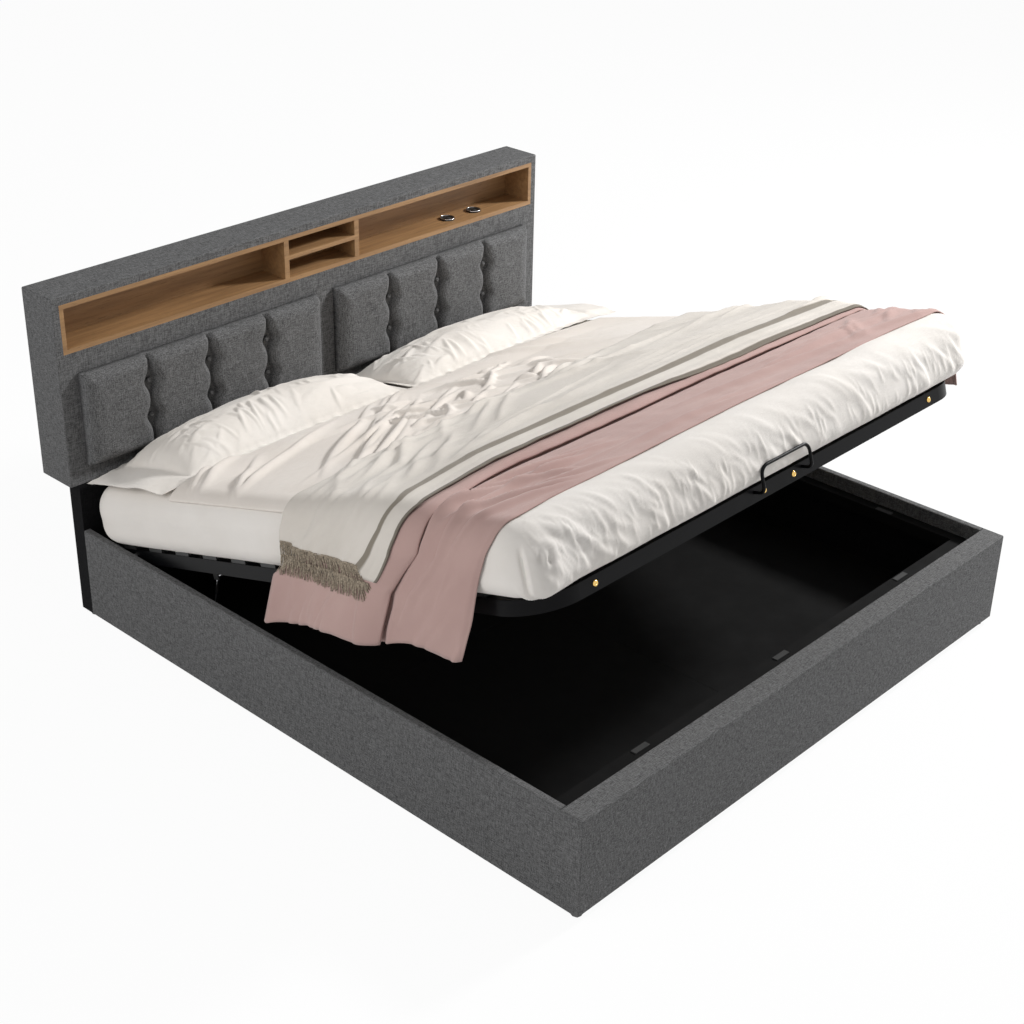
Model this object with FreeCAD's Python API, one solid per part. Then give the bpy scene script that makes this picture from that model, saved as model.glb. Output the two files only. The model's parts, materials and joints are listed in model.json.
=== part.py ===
import FreeCAD, Part
import math
import os

# Upholstered storage bed with a lifting platform, made up with its bedding.
# Frame: +Z up, +Y towards the headboard, X across the bed, origin on the floor
# under the middle of the bed's outer box. The platform is drawn lifted.

Vector = FreeCAD.Vector
X_AXIS = Vector(1, 0, 0)
Y_AXIS = Vector(0, 1, 0)
Z_AXIS = Vector(0, 0, 1)
SIDES = (-1, 1)
OVERRUN = 5.0
CORRECTED_FRAME = 1
EDGE_TEST = 0.1

# Bed box
BED_WIDTH = 2080.0
BOX_LENGTH = 2115.0
BOX_TOP = 330.0
FLOOR_GAP = 22.0
FOOT_THICK = 75.0
RAIL_THICK = 25.0
COVER_WALL = 6.0
EDGE_ROUND = 5.0
RETURN_DEEP = 65.0
RETURN_WALL = 1.5

# Headboard
BASE_THICK = 57.0
BLOCK_SIDE_REACH = 30.0
BLOCK_DEPTH = 155.0
BLOCK_BOTTOM = 495.0
HEAD_HEIGHT = 1125.0
BOARD = 20.0
RIB_SPACING = 522.0

# Niche
NICHE_DROP = 187.0
NICHE_BOARD = 15.0
NICHE_BACK = 9.0
DIVIDER_X = 157.0
DIVIDER_THICK = 20.0
SHELF_RISE = 63.0
SHELF_THICK = 15.0
SOCKET_FROM_END = 383.0
SOCKET_SPACING = 136.0
SOCKET_INSET = 63.0
SOCKET_R = 28.0
SOCKET_BARREL_R = 24.0
SOCKET_BARREL_LENGTH = 45.0
SOCKET_FLANGE = 5.0
SOCKET_RIM_WALL = 3.5
SOCKET_RIM_HIGH = 2.0
SOCKET_FIT = 0.3
SOCKET_SIDES = 20

# Tufted pads: four channels each, three seams with two buttons each
PAD_INNER_X = 40.0
PAD_SIDE_MARGIN = 68.0
PAD_BOTTOM_MARGIN = 61.0
PAD_TOP_MARGIN = 71.0
PAD_DEPTH = 48.0
PAD_CHANNELS = 4
PAD_STEPS = 8
PAD_HEIGHT_SHARES = (0.0, 0.06, 0.19, 0.328, 0.52, 0.714, 0.84, 0.94, 1.0)
PAD_CROWN_SHARES = (0.52, 0.84, 0.97, 0.99, 1.0, 0.99, 0.97, 0.84, 0.52)
PAD_SEAM_SHARES = (0.40, 0.60, 0.66, 0.44, 0.70, 0.44, 0.66, 0.60, 0.40)
PAD_RIM_SHARES = (0.34, 0.50, 0.56, 0.58, 0.58, 0.58, 0.56, 0.50, 0.34)
BUTTON_HEIGHT_SHARES = (0.328, 0.714)
BUTTON_SEAT_SHARE = 0.52
BUTTON_R = 8.0
BUTTON_FACE_R = 5.0
BUTTON_HIGH = 6.0
BUTTON_SIDES = 12

# Storage box
CLEAT = 25.0
FLOOR_BOARD = 9.0
FLOOR_BOARD_FIT = 0.5
CENTRE_BEAM_WIDTH = 40.0
TUBE_WALL = 2.0
FOOT_R = 20.0
FOOT_SIDES = 12
FOOT_TAPER = 4.0
FOOT_INSET = 32.0
CENTRE_FOOT_SHARES = (0.2, 0.5, 0.8)
LEDGE_WIDTH = 40.0
LEDGE_HIGH = 40.0
LEDGE_GAP = 40.0
BUMPER_THICK = 3.0
BUMPER_WIDTH = 18.0
BUMPER_LENGTH = 60.0
BUMPER_INSET = 3.0
BUMPER_CLEARANCE = 0.3
BUMPER_SHARES = (0.12, 0.5, 0.88)

# Corner brackets and bolts
ANGLE_LEG = 50.0
ANGLE_WALL = 4.0
ANGLE_HIGH = 110.0
ANGLE_RISE = 60.0
ANGLE_BOLT_SHARES = (0.22, 0.78)
BOLT_HEAD_R = 7.5
BOLT_HEAD_HIGH = 5.0
HEX_SIDES = 6

# Lifting mechanism
LIFT_ANGLE = 17.1
HINGE_FROM_HEAD = 215.0
HINGE_HEIGHT = 307.0
STRUT_ARM = 400.0
STUD_HEIGHT = 85.0
TAB_DROP = 35.0
PLATE_WALL = 5.0
PLATE_BOSS_R = 18.0
PLATE_HEEL_RISE = 10.0
PLATE_HOLE_R = 34.0
HINGE_PIN_R = 6.0
STUD_R = 4.0
PIN_COLLAR_R = 10.0
STUD_COLLAR_R = 8.0
PIN_CAP = 6.0
PIN_FIT = 0.08
SIDE_FIT = 0.5
STRUT_TUBE_R = 11.0
STRUT_WALL = 1.5
STRUT_ROD_R = 5.0
STRUT_EYE_R = 10.0
STRUT_EYE_WIDTH = 10.0
STRUT_NECK_WIDE = 14.0
STRUT_NECK = 14.0
STRUT_END = 6.0
STRUT_GUIDE = 8.0
STRUT_PISTON = 8.0
STRUT_REST = 2.0
TAB_WALL = 4.0
TAB_R = 12.0

# Platform
PLATFORM_GAP = 50.0
PLATFORM_SIDE_GAP = 18.0
PLATFORM_HEAD_GAP = 8.0
TUBE_WIDE = 30.0
TUBE_HIGH = 44.0
CORNER_R = 150.0
BOW_LEG = 60.0
STRINGER_WIDE = 25.0
STRINGER_HIGH = 36.0
STRINGER_INNER_X = 70.5
STRINGER_SIDE_MARGIN = 210.0
STRINGER_PLUG = 25.0
BUSH_SIDES = 8
SLAT_COUNT = 13
SLAT_FIRST = 74.0
SLAT_LAST_MARGIN = 123.0
SLAT_WIDE = 64.0
SLAT_THICK = 8.0
SLAT_INSET = 4.0
SLAT_MIDDLE_GAP = 4.0
HOLDER_WALL = 2.0
HOLDER_LENGTH = 40.0
FOOT_BOLT_HEAD_R = 9.0
FOOT_BOLT_FACE_R = 5.0
FOOT_BOLT_HEAD_HIGH = 5.0
FOOT_BOLT_SIDES = 12

# Mattress retainer
RETAINER_HALF = 113.0
RETAINER_R = 5.0
RETAINER_FORWARD = 36.0
RETAINER_ROOT = 8.0
RETAINER_TOP = 83.0
RETAINER_CORNER_R = 28.0
RETAINER_FOOT_R = 16.0
RETAINER_SIDES = 8
BEND_TURNS = (0, 30, 60, 90)

# Mattress
MATTRESS_OVERHANG = 30.0
MATTRESS_HEAD_OVERHANG = 15.0
MATTRESS_THICK = 195.0
MATTRESS_FOOT_R = 100.0
MATTRESS_HEAD_R = 130.0
MATTRESS_TOP_R = 85.0
MATTRESS_BOTTOM_R = 60.0
MATTRESS_BORDER = 45.0
MATTRESS_COVER = 14.0
EDGE_TURNS = (0, 30, 60, 90)
CORNER_TURNS = (0, 30, 60, 90)
SHEET_THICK = 2.0
SHEET_TUCK = 120.0
SOFT_FIT = 0.3
FOLD_STEPS = 4

# Bed linen; a fold list gives where each fold ends, as a share of the width
DUVET_START_SHARE = 0.3751
DUVET_PILLOW_GAP = 12.0
DUVET_THICK = 5.0
DUVET_FOLD_SHARES = (0.21, 0.42, 0.63, 0.77, 0.91, 1.0)
DUVET_RISES = (2.0, 2.0, 2.0, 9.0, 7.0, 4.0)
BLANKET_THICK = 4.0
BLANKET_START_SHARE = 0.0322
BLANKET_LEFT_START_SHARE = 0.0519
BLANKET_END_SHARE = 0.3714
BLANKET_HEM_START_SHARE = 0.1345
BLANKET_HEM_END_SHARE = 0.5657
BLANKET_DROP = 370.0
BLANKET_RIGHT_DROP = 262.0
BLANKET_FOLD_SHARES = (0.20, 0.31, 0.40, 1.0)
BLANKET_TOP_RISES = (7.0, 12.0, 15.0, 3.0)
BLANKET_SIDE_RISES = (9.0, 12.0, 13.0, 3.0)
BLANKET_HEM_RISES = (17.0, 14.0, 16.0, 7.0)
THROW_THICK = 4.0
THROW_LIFT = 8.0
THROW_START_SHARE = 0.3325
THROW_LEFT_START_SHARE = 0.1818
THROW_END_SHARE = 0.6234
THROW_LEFT_END_SHARE = 0.4571
THROW_HEM_START_SHARE = 0.3003
THROW_HEM_END_SHARE = 0.4623
THROW_DROP = 130.0
THROW_FOLD_SHARES = (0.16, 0.32, 0.50, 0.68, 0.84, 1.0)
THROW_TOP_RISES = (2.0, 9.0, 12.0, 7.0, 12.0, 4.0)
THROW_SIDE_RISES = (2.0, 6.0, 5.0, 6.0, 5.0, 3.0)
FRINGE_THICK = 3.0
FRINGE_LENGTH = 58.0
FRINGE_STEP = 48.0
FRINGE_SPREAD = 50.0

# Pillows: outline shares run from one end to the other
PILLOW_LENGTH = 1040.0
PILLOW_WIDE = 410.0
PILLOW_THICK = 130.0
PILLOW_HEAD_MARGIN = 438.0
PILLOW_MIDDLE_GAP = 20.0
PILLOW_SHIFT = 22.0
PILLOW_EDGE = 8.0
PILLOW_STEPS = 8
SETTLE_STEPS = 6
PILLOW_SEAM_SHARE = 0.22
PILLOW_SECTION_SHARES = (0.0, 0.05, 0.18, 0.35, 0.65, 0.82, 0.95, 1.0)
PILLOW_CROWN_SHARES = (0.0, 0.34, 0.76, 1.0, 1.0, 0.76, 0.34, 0.0)
PILLOW_SIDE_SHARES = (1.0, 0.985, 0.955, 0.93, 0.93, 0.955, 0.985, 1.0)

# Places that follow from the sizes above
TOTAL_LENGTH = BOX_LENGTH + BLOCK_DEPTH
Y_FOOT = -TOTAL_LENGTH / 2
Y_HEAD = Y_FOOT + BOX_LENGTH
Y_BACK = TOTAL_LENGTH / 2
HALF_BED = BED_WIDTH / 2
HALF_BLOCK = HALF_BED + BLOCK_SIDE_REACH
RAIL_INNER = HALF_BED - RAIL_THICK
Y_FOOT_INNER = Y_FOOT + FOOT_THICK
CARCASS_HALF = HALF_BLOCK - COVER_WALL
NICHE_HALF = CARCASS_HALF - BOARD
CARCASS_FRONT = Y_HEAD + COVER_WALL
CARCASS_BACK = Y_BACK - COVER_WALL
CARCASS_BOTTOM = BLOCK_BOTTOM + COVER_WALL
CARCASS_TOP = HEAD_HEIGHT - COVER_WALL
NICHE_TOP = CARCASS_TOP - BOARD
NICHE_REAR = CARCASS_BACK - BOARD - NICHE_BACK
NICHE_BOTTOM = HEAD_HEIGHT - NICHE_DROP
NICHE_FLOOR_TOP = NICHE_BOTTOM + NICHE_BOARD
SOCKET_X = NICHE_HALF - SOCKET_FROM_END
PAD_OUTER_X = HALF_BLOCK - PAD_SIDE_MARGIN
PAD_BOTTOM = BLOCK_BOTTOM + PAD_BOTTOM_MARGIN
PAD_TOP = NICHE_BOTTOM - PAD_TOP_MARGIN
FLOOR_BOTTOM = FLOOR_GAP + CLEAT
FLOOR_TOP = FLOOR_BOTTOM + FLOOR_BOARD
HALF_PLATFORM = RAIL_INNER - PLATFORM_SIDE_GAP
STRINGER_OUTER_X = HALF_PLATFORM - STRINGER_SIDE_MARGIN
HALF_TUBE = TUBE_HIGH / 2
Y_PLATFORM = Y_FOOT_INNER + PLATFORM_GAP
PLATFORM_LENGTH = Y_HEAD - BASE_THICK - PLATFORM_HEAD_GAP - Y_PLATFORM
SLAT_PITCH = (PLATFORM_LENGTH - SLAT_FIRST - SLAT_LAST_MARGIN) / (SLAT_COUNT - 1)
Y_HINGE = Y_HEAD - HINGE_FROM_HEAD
SLAT_BOTTOM = HALF_TUBE + HOLDER_WALL
SLAT_TOP = SLAT_BOTTOM + SLAT_THICK
MATTRESS_BOTTOM = SLAT_TOP + HOLDER_WALL + SOFT_FIT
MATTRESS_TOP = MATTRESS_BOTTOM + MATTRESS_THICK
MATTRESS_LENGTH = MATTRESS_OVERHANG + PLATFORM_LENGTH + MATTRESS_HEAD_OVERHANG
HALF_MATTRESS = HALF_BED
DUVET_HALF = HALF_MATTRESS - MATTRESS_TOP_R
PILLOW_START = PLATFORM_LENGTH - PILLOW_HEAD_MARGIN
DUVET_START = PLATFORM_LENGTH * DUVET_START_SHARE
DUVET_END = PILLOW_START - DUVET_PILLOW_GAP
BLANKET_START = PLATFORM_LENGTH * BLANKET_START_SHARE
BLANKET_START_LEFT = PLATFORM_LENGTH * BLANKET_LEFT_START_SHARE
BLANKET_END = PLATFORM_LENGTH * BLANKET_END_SHARE
BLANKET_HEM_START = PLATFORM_LENGTH * BLANKET_HEM_START_SHARE
BLANKET_HEM_END = PLATFORM_LENGTH * BLANKET_HEM_END_SHARE
THROW_START = PLATFORM_LENGTH * THROW_START_SHARE
THROW_START_LEFT = PLATFORM_LENGTH * THROW_LEFT_START_SHARE
THROW_END = PLATFORM_LENGTH * THROW_END_SHARE
THROW_END_LEFT = PLATFORM_LENGTH * THROW_LEFT_END_SHARE
THROW_HEM_START = PLATFORM_LENGTH * THROW_HEM_START_SHARE
THROW_HEM_END = PLATFORM_LENGTH * THROW_HEM_END_SHARE
LEDGE_TOP = HINGE_HEIGHT - HALF_TUBE - BUMPER_THICK - BUMPER_CLEARANCE
STRUT_X = HALF_PLATFORM - TUBE_WIDE / 2 - STRUT_EYE_WIDTH / 2 - SIDE_FIT
STUD_DROP_ANGLE = math.asin((HINGE_HEIGHT - STUD_HEIGHT) / STRUT_ARM)
TAB_DROP_ANGLE = math.asin(TAB_DROP / STRUT_ARM)
CLOSED_APEX = STUD_DROP_ANGLE - TAB_DROP_ANGLE
OPEN_APEX = CLOSED_APEX + math.radians(LIFT_ANGLE)
STRUT_CLOSED = 2 * STRUT_ARM * math.sin(CLOSED_APEX / 2)
STRUT_OPEN = 2 * STRUT_ARM * math.sin(OPEN_APEX / 2)
Y_STUD = Y_HINGE - STRUT_ARM * math.cos(STUD_DROP_ANGLE)
Y_TAB = Y_HINGE - STRUT_ARM * math.cos(TAB_DROP_ANGLE)
STRUT_LEAN = STUD_DROP_ANGLE - OPEN_APEX / 2


def box(x0, x1, y0, y1, z0, z1):
    """Return a box between two corners, given in any order."""
    low = Vector(min(x0, x1), min(y0, y1), min(z0, z1))
    return Part.makeBox(abs(x1 - x0), abs(y1 - y0), abs(z1 - z0), low)


def rod(start, axis, length, radius):
    """Return a cylinder that starts at a point and runs along an axis."""
    return Part.makeCylinder(radius, length, start, axis)


def skinned(outlines):
    """Return the solid that a row of closed outlines makes, in flat facets."""
    faces = [Part.Face(closed(outlines[0])), Part.Face(closed(outlines[-1]))]
    for near, far in zip(outlines, outlines[1:]):
        for step in range(len(near)):
            first = [near[step - 1], near[step], far[step]]
            second = [near[step - 1], far[step], far[step - 1]]
            faces.append(Part.Face(closed(first)))
            faces.append(Part.Face(closed(second)))
    shell = Part.Shell(faces)
    shell.sewShape()
    solid = Part.Solid(shell)
    if solid.Volume < 0:
        solid.reverse()
    return solid


def ring(radius, sides, up):
    """Return a regular outline round the upright axis."""
    step = 2 * math.pi / sides
    points = [
        Vector(radius * math.cos(turn * step), radius * math.sin(turn * step), up)
        for turn in range(sides)
    ]
    return closed(points)


def stud(start, axis, length, near_r, far_r, sides):
    """Return a many-sided piece that narrows or widens along an axis."""
    shape = Part.makeLoft([ring(near_r, sides, 0), ring(far_r, sides, length)], True, True)
    shape.Placement = FreeCAD.Placement(start, FreeCAD.Rotation(Z_AXIS, axis))
    return shape


def round_edges(shape, radius, chosen):
    """Return the shape with the edges that a test picks rounded."""
    edges = [edge for edge in shape.Edges if chosen(edge)]
    return shape.makeFillet(radius, edges)


def runs_along(edge, axis):
    """Tell whether an edge is straight and lies along an axis."""
    run = edge.Vertexes[-1].Point - edge.Vertexes[0].Point
    return edge.Length > 0 and abs(abs(run.dot(axis)) - edge.Length) < EDGE_TEST


def round_plate(half, start, end, radius, z0, z1):
    """Return a plate across the bed with four round corners."""
    plate = box(-half, half, start, end, z0, z1)
    return round_edges(plate, radius, lambda edge: runs_along(edge, Z_AXIS))


def bowed(start, peak, end, steps):
    """Return points along a bow from start to end, rising towards a peak."""
    rise = peak - (start + end) / 2
    points = []
    for step in range(steps + 1):
        share = step / steps
        points.append(start + (end - start) * share + rise * math.sin(math.pi * share))
    return points


def closed(points):
    """Return the closed outline through a list of points."""
    return Part.makePolygon(points + points[:1])


def lifted(shape):
    """Return a platform piece turned up about the hinge."""
    turned = shape.copy()
    turned.rotate(Vector(0, Y_HINGE, HINGE_HEIGHT), X_AXIS, -LIFT_ANGLE)
    return turned


def platform_box(x0, x1, a0, a1, n0, n1):
    """Return a box in platform sizes: along from its foot, up from its tube."""
    return box(x0, x1, Y_PLATFORM + a0, Y_PLATFORM + a1, HINGE_HEIGHT + n0, HINGE_HEIGHT + n1)


def platform_point(x, along, up):
    """Return a point given in platform sizes."""
    return Vector(x, Y_PLATFORM + along, HINGE_HEIGHT + up)


def settled(piece, carriers):
    """Return a piece lowered until it just clears what carries it."""
    carrier = Part.makeCompound(carriers)
    for _ in range(SETTLE_STEPS):
        gap = piece.distToShape(carrier)[0]
        piece.translate(Z_AXIS * (SOFT_FIT - gap))
    return piece


# Bed box


def angle_bolts():
    """Return seat and axis of each corner bracket bolt."""
    places = []
    for side in SIDES:
        for wall, inward in ((Y_FOOT_INNER, 1), (Y_HEAD, -1)):
            for share in ANGLE_BOLT_SHARES:
                up = FLOOR_TOP + ANGLE_RISE + share * ANGLE_HIGH
                middle = (ANGLE_LEG + ANGLE_WALL) / 2
                rail_seat = Vector(side * (RAIL_INNER - ANGLE_WALL), wall + inward * middle, up)
                places.append((rail_seat, X_AXIS * side))
                wall_seat = Vector(side * (RAIL_INNER - middle), wall + inward * ANGLE_WALL, up)
                places.append((wall_seat, Y_AXIS * -inward))
    return places


def plate_corners():
    """Return the three corners of the lifting plate, as along and up."""
    heel = (Y_HINGE, STUD_HEIGHT + PLATE_HEEL_RISE)
    return (Y_HINGE, HINGE_HEIGHT), (Y_STUD, STUD_HEIGHT), heel


def plate_bolts():
    """Return seat and axis of each bolt of the two lifting plates."""
    hinge, stud, heel = plate_corners()
    spots = []
    for first, second in ((hinge, heel), (stud, hinge), (stud, heel)):
        spots.append(((first[0] + second[0]) / 2, (first[1] + second[1]) / 2))
    spots.append(heel)
    face = RAIL_INNER - PLATE_WALL
    return [(Vector(side * face, y, z), X_AXIS * side) for side in SIDES for y, z in spots]


def footboard():
    """Return the footboard's core, its lining and its cover."""
    inner = Y_FOOT_INNER - RETURN_WALL
    half = HALF_BED - COVER_WALL
    low = FLOOR_GAP + RETURN_WALL
    core = box(-half, half, Y_FOOT + COVER_WALL, inner, low, BOX_TOP - COVER_WALL)
    lining = box(-RAIL_INNER, RAIL_INNER, inner, Y_FOOT_INNER, low, BOX_TOP - RETURN_DEEP)
    outer = box(-HALF_BED, HALF_BED, Y_FOOT, Y_FOOT_INNER, FLOOR_GAP, BOX_TOP)

    def shown(edge):
        outside = edge.CenterOfMass.y < Y_FOOT + EDGE_ROUND
        top = edge.CenterOfMass.z > BOX_TOP - EDGE_ROUND
        return outside or top

    outer = round_edges(outer, EDGE_ROUND, shown)
    return core, lining, outer.cut([core, lining])


def side_rail(side):
    """Return one side rail's core, its lining and its cover."""
    face = side * RAIL_INNER
    inner = face + side * RETURN_WALL
    outer = side * HALF_BED
    low = FLOOR_GAP + RETURN_WALL
    core = box(
        inner, outer - side * COVER_WALL, Y_FOOT_INNER, Y_HEAD, low, BOX_TOP - COVER_WALL
    )
    lining = box(face, inner, Y_FOOT_INNER, Y_HEAD, low, BOX_TOP - RETURN_DEEP)
    skin = box(face, outer, Y_FOOT_INNER, Y_HEAD, FLOOR_GAP, BOX_TOP)
    skin = round_edges(
        skin,
        EDGE_ROUND,
        lambda edge: runs_along(edge, Y_AXIS) and edge.CenterOfMass.z > BOX_TOP - EDGE_ROUND,
    )
    return core, lining, skin.cut([core, lining])


def feet():
    """Return the feet under the corners and under the centre beam."""
    spots = []
    for side in SIDES:
        spots.append((side * (HALF_BED - FOOT_INSET), Y_FOOT + FOOT_INSET))
        spots.append((side * (HALF_BED - FOOT_INSET), Y_HEAD + BASE_THICK / 2))
    span = Y_HEAD - Y_FOOT_INNER
    for share in CENTRE_FOOT_SHARES:
        spots.append((0, Y_FOOT_INNER + share * span))
    low_r = FOOT_R - FOOT_TAPER
    studs = [stud(Vector(x, y, 0), Z_AXIS, FLOOR_GAP, low_r, FOOT_R, FOOT_SIDES) for x, y in spots]
    return Part.makeCompound(studs)


def floor_cleats():
    """Return the battens round the box that carry the storage floor."""
    pieces = []
    for side in SIDES:
        inner = side * (RAIL_INNER - CLEAT)
        pieces.append(
            box(side * RAIL_INNER, inner, Y_FOOT_INNER, Y_HEAD, FLOOR_GAP, FLOOR_BOTTOM)
        )
    across = RAIL_INNER - CLEAT
    for wall, inward in ((Y_FOOT_INNER, 1), (Y_HEAD, -1)):
        pieces.append(
            box(-across, across, wall, wall + inward * CLEAT, FLOOR_GAP, FLOOR_BOTTOM)
        )
    return Part.makeCompound(pieces)


def centre_beam():
    """Return the steel tube under the middle of the storage floor."""
    half = CENTRE_BEAM_WIDTH / 2
    start = Y_FOOT_INNER + CLEAT
    end = Y_HEAD - CLEAT
    tube = box(-half, half, start, end, FLOOR_GAP, FLOOR_BOTTOM)
    hollow = box(
        -half + TUBE_WALL,
        half - TUBE_WALL,
        start - OVERRUN,
        end + OVERRUN,
        FLOOR_GAP + TUBE_WALL,
        FLOOR_BOTTOM - TUBE_WALL,
    )
    return tube.cut(hollow)


def storage_floor():
    """Return the four boards of the storage floor."""
    middle = (Y_FOOT_INNER + Y_HEAD) / 2
    fit = FLOOR_BOARD_FIT
    boards = []
    for side in SIDES:
        for start, end in ((Y_FOOT_INNER + fit, middle - fit), (middle + fit, Y_HEAD - fit)):
            boards.append(
                box(side * fit, side * (RAIL_INNER - fit), start, end, FLOOR_BOTTOM, FLOOR_TOP)
            )
    return Part.makeCompound(boards)


def ledge_end():
    """Return how far the side ledges run towards the headboard."""
    return Y_TAB - TAB_R - STRUT_TUBE_R - LEDGE_GAP


def platform_ledges():
    """Return the battens on which the lowered platform rests."""
    bottom = LEDGE_TOP - LEDGE_HIGH
    pieces = []
    for side in SIDES:
        inner = side * (RAIL_INNER - LEDGE_WIDTH)
        pieces.append(
            box(side * RAIL_INNER, inner, Y_FOOT_INNER, ledge_end(), bottom, LEDGE_TOP)
        )
    across = RAIL_INNER - LEDGE_WIDTH
    reach = PLATFORM_GAP + TUBE_WIDE - BUMPER_INSET
    pieces.append(box(-across, across, Y_FOOT_INNER, Y_FOOT_INNER + reach, bottom, LEDGE_TOP))
    return Part.makeCompound(pieces)


def rest_bumpers():
    """Return the soft pads that stop the lowered platform."""
    top = LEDGE_TOP + BUMPER_THICK
    pads = []
    span = ledge_end() - Y_PLATFORM - CORNER_R
    for share in BUMPER_SHARES:
        middle = Y_PLATFORM + CORNER_R + share * span
        for side in SIDES:
            outer = side * (HALF_PLATFORM - BUMPER_INSET)
            pads.append(
                box(
                    outer,
                    outer - side * BUMPER_WIDTH,
                    middle - BUMPER_LENGTH / 2,
                    middle + BUMPER_LENGTH / 2,
                    LEDGE_TOP,
                    top,
                )
            )
        across = (2 * share - 1) * (HALF_PLATFORM - CORNER_R)
        start = Y_PLATFORM + BUMPER_INSET
        pads.append(
            box(
                across - BUMPER_LENGTH / 2,
                across + BUMPER_LENGTH / 2,
                start,
                start + BUMPER_WIDTH,
                LEDGE_TOP,
                top,
            )
        )
    return Part.makeCompound(pads)


def corner_brackets():
    """Return the four steel angles inside the corners of the box."""
    bottom = FLOOR_TOP + ANGLE_RISE
    top = bottom + ANGLE_HIGH
    angles = []
    for side in SIDES:
        for wall, inward in ((Y_FOOT_INNER, 1), (Y_HEAD, -1)):
            edge = side * RAIL_INNER
            rail_leg = box(
                edge, edge - side * ANGLE_WALL, wall, wall + inward * ANGLE_LEG, bottom, top
            )
            wall_leg = box(
                edge, edge - side * ANGLE_LEG, wall, wall + inward * ANGLE_WALL, bottom, top
            )
            angles.append(rail_leg.fuse(wall_leg).removeSplitter())
    return Part.makeCompound(angles)


def frame_bolts():
    """Return the bolt heads on the corner brackets and the lifting plates."""
    heads = [
        stud(seat, -axis, BOLT_HEAD_HIGH, BOLT_HEAD_R, BOLT_HEAD_R, HEX_SIDES)
        for seat, axis in angle_bolts() + plate_bolts()
    ]
    return Part.makeCompound(heads)


# Headboard


def headboard_base():
    """Return the core and the cover of the panel below the headboard."""
    core = box(
        -HALF_BED + COVER_WALL,
        HALF_BED - COVER_WALL,
        Y_HEAD + RETURN_WALL,
        Y_HEAD + BASE_THICK - COVER_WALL,
        FLOOR_GAP + RETURN_WALL,
        BLOCK_BOTTOM,
    )
    outer = box(-HALF_BED, HALF_BED, Y_HEAD, Y_HEAD + BASE_THICK, FLOOR_GAP, BLOCK_BOTTOM)
    return core, outer.cut(core)


def headboard_cover():
    """Return the cloth cover round the headboard, open at the niche."""
    outer = box(-HALF_BLOCK, HALF_BLOCK, Y_HEAD, Y_BACK, BLOCK_BOTTOM, HEAD_HEIGHT)
    outer = round_edges(
        outer, EDGE_ROUND, lambda edge: edge.CenterOfMass.z > BLOCK_BOTTOM + EDGE_ROUND
    )
    inner = box(
        -CARCASS_HALF, CARCASS_HALF, CARCASS_FRONT, CARCASS_BACK, CARCASS_BOTTOM, CARCASS_TOP
    )
    mouth = box(
        -NICHE_HALF, NICHE_HALF, Y_HEAD - OVERRUN, CARCASS_FRONT, NICHE_BOTTOM, NICHE_TOP
    )
    return outer.cut([inner, mouth])


def headboard_ends():
    """Return the two end boards inside the headboard."""
    ends = [
        box(
            side * NICHE_HALF,
            side * CARCASS_HALF,
            CARCASS_FRONT,
            CARCASS_BACK,
            CARCASS_BOTTOM,
            CARCASS_TOP,
        )
        for side in SIDES
    ]
    return Part.makeCompound(ends)


def headboard_boards():
    """Return the long boards, the back and the front inside the headboard."""
    half = NICHE_HALF
    top = box(-half, half, CARCASS_FRONT, CARCASS_BACK, NICHE_TOP, CARCASS_TOP)
    bottom_top = CARCASS_BOTTOM + BOARD
    bottom = box(-half, half, CARCASS_FRONT, CARCASS_BACK, CARCASS_BOTTOM, bottom_top)
    back = box(-half, half, CARCASS_BACK - BOARD, CARCASS_BACK, bottom_top, NICHE_TOP)
    front = box(-half, half, CARCASS_FRONT, CARCASS_FRONT + BOARD, bottom_top, NICHE_BOTTOM)
    return Part.makeCompound([top, bottom]), back, front


def headboard_ribs():
    """Return the upright ribs that stiffen the headboard."""
    ribs = [
        box(
            step * RIB_SPACING - BOARD / 2,
            step * RIB_SPACING + BOARD / 2,
            CARCASS_FRONT + BOARD,
            CARCASS_BACK - BOARD,
            CARCASS_BOTTOM + BOARD,
            NICHE_BOTTOM,
        )
        for step in (-1, 0, 1)
    ]
    return Part.makeCompound(ribs)


def socket_places():
    """Return the middle of each charging socket on the niche floor."""
    y = Y_HEAD + SOCKET_INSET
    return [Vector(SOCKET_X + step * SOCKET_SPACING, y, NICHE_FLOOR_TOP) for step in (0, 1)]


def niche():
    """Return the niche's floor, roof, ends, back, dividers and shelf."""
    half = NICHE_HALF
    floor = box(-half, half, Y_HEAD, NICHE_REAR, NICHE_BOTTOM, NICHE_FLOOR_TOP)
    for place in socket_places():
        start = place + Z_AXIS * OVERRUN
        hole_r = SOCKET_BARREL_R + SOCKET_FIT
        reach = NICHE_BOARD + 2 * OVERRUN
        floor = floor.cut(stud(start, -Z_AXIS, reach, hole_r, hole_r, SOCKET_SIDES))
    roof_bottom = NICHE_TOP - NICHE_BOARD
    roof = box(-half, half, Y_HEAD, NICHE_REAR, roof_bottom, NICHE_TOP)
    ends = Part.makeCompound(
        [
            box(
                side * half,
                side * (half - NICHE_BOARD),
                Y_HEAD,
                NICHE_REAR,
                NICHE_FLOOR_TOP,
                roof_bottom,
            )
            for side in SIDES
        ]
    )
    back = box(-half, half, NICHE_REAR, NICHE_REAR + NICHE_BACK, NICHE_BOTTOM, NICHE_TOP)
    inner = DIVIDER_X - DIVIDER_THICK / 2
    dividers = Part.makeCompound(
        [
            box(
                side * inner,
                side * (inner + DIVIDER_THICK),
                Y_HEAD,
                NICHE_REAR,
                NICHE_FLOOR_TOP,
                roof_bottom,
            )
            for side in SIDES
        ]
    )
    shelf_bottom = NICHE_FLOOR_TOP + SHELF_RISE
    shelf = box(-inner, inner, Y_HEAD, NICHE_REAR, shelf_bottom, shelf_bottom + SHELF_THICK)
    return floor, roof, ends, back, dividers, shelf


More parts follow.
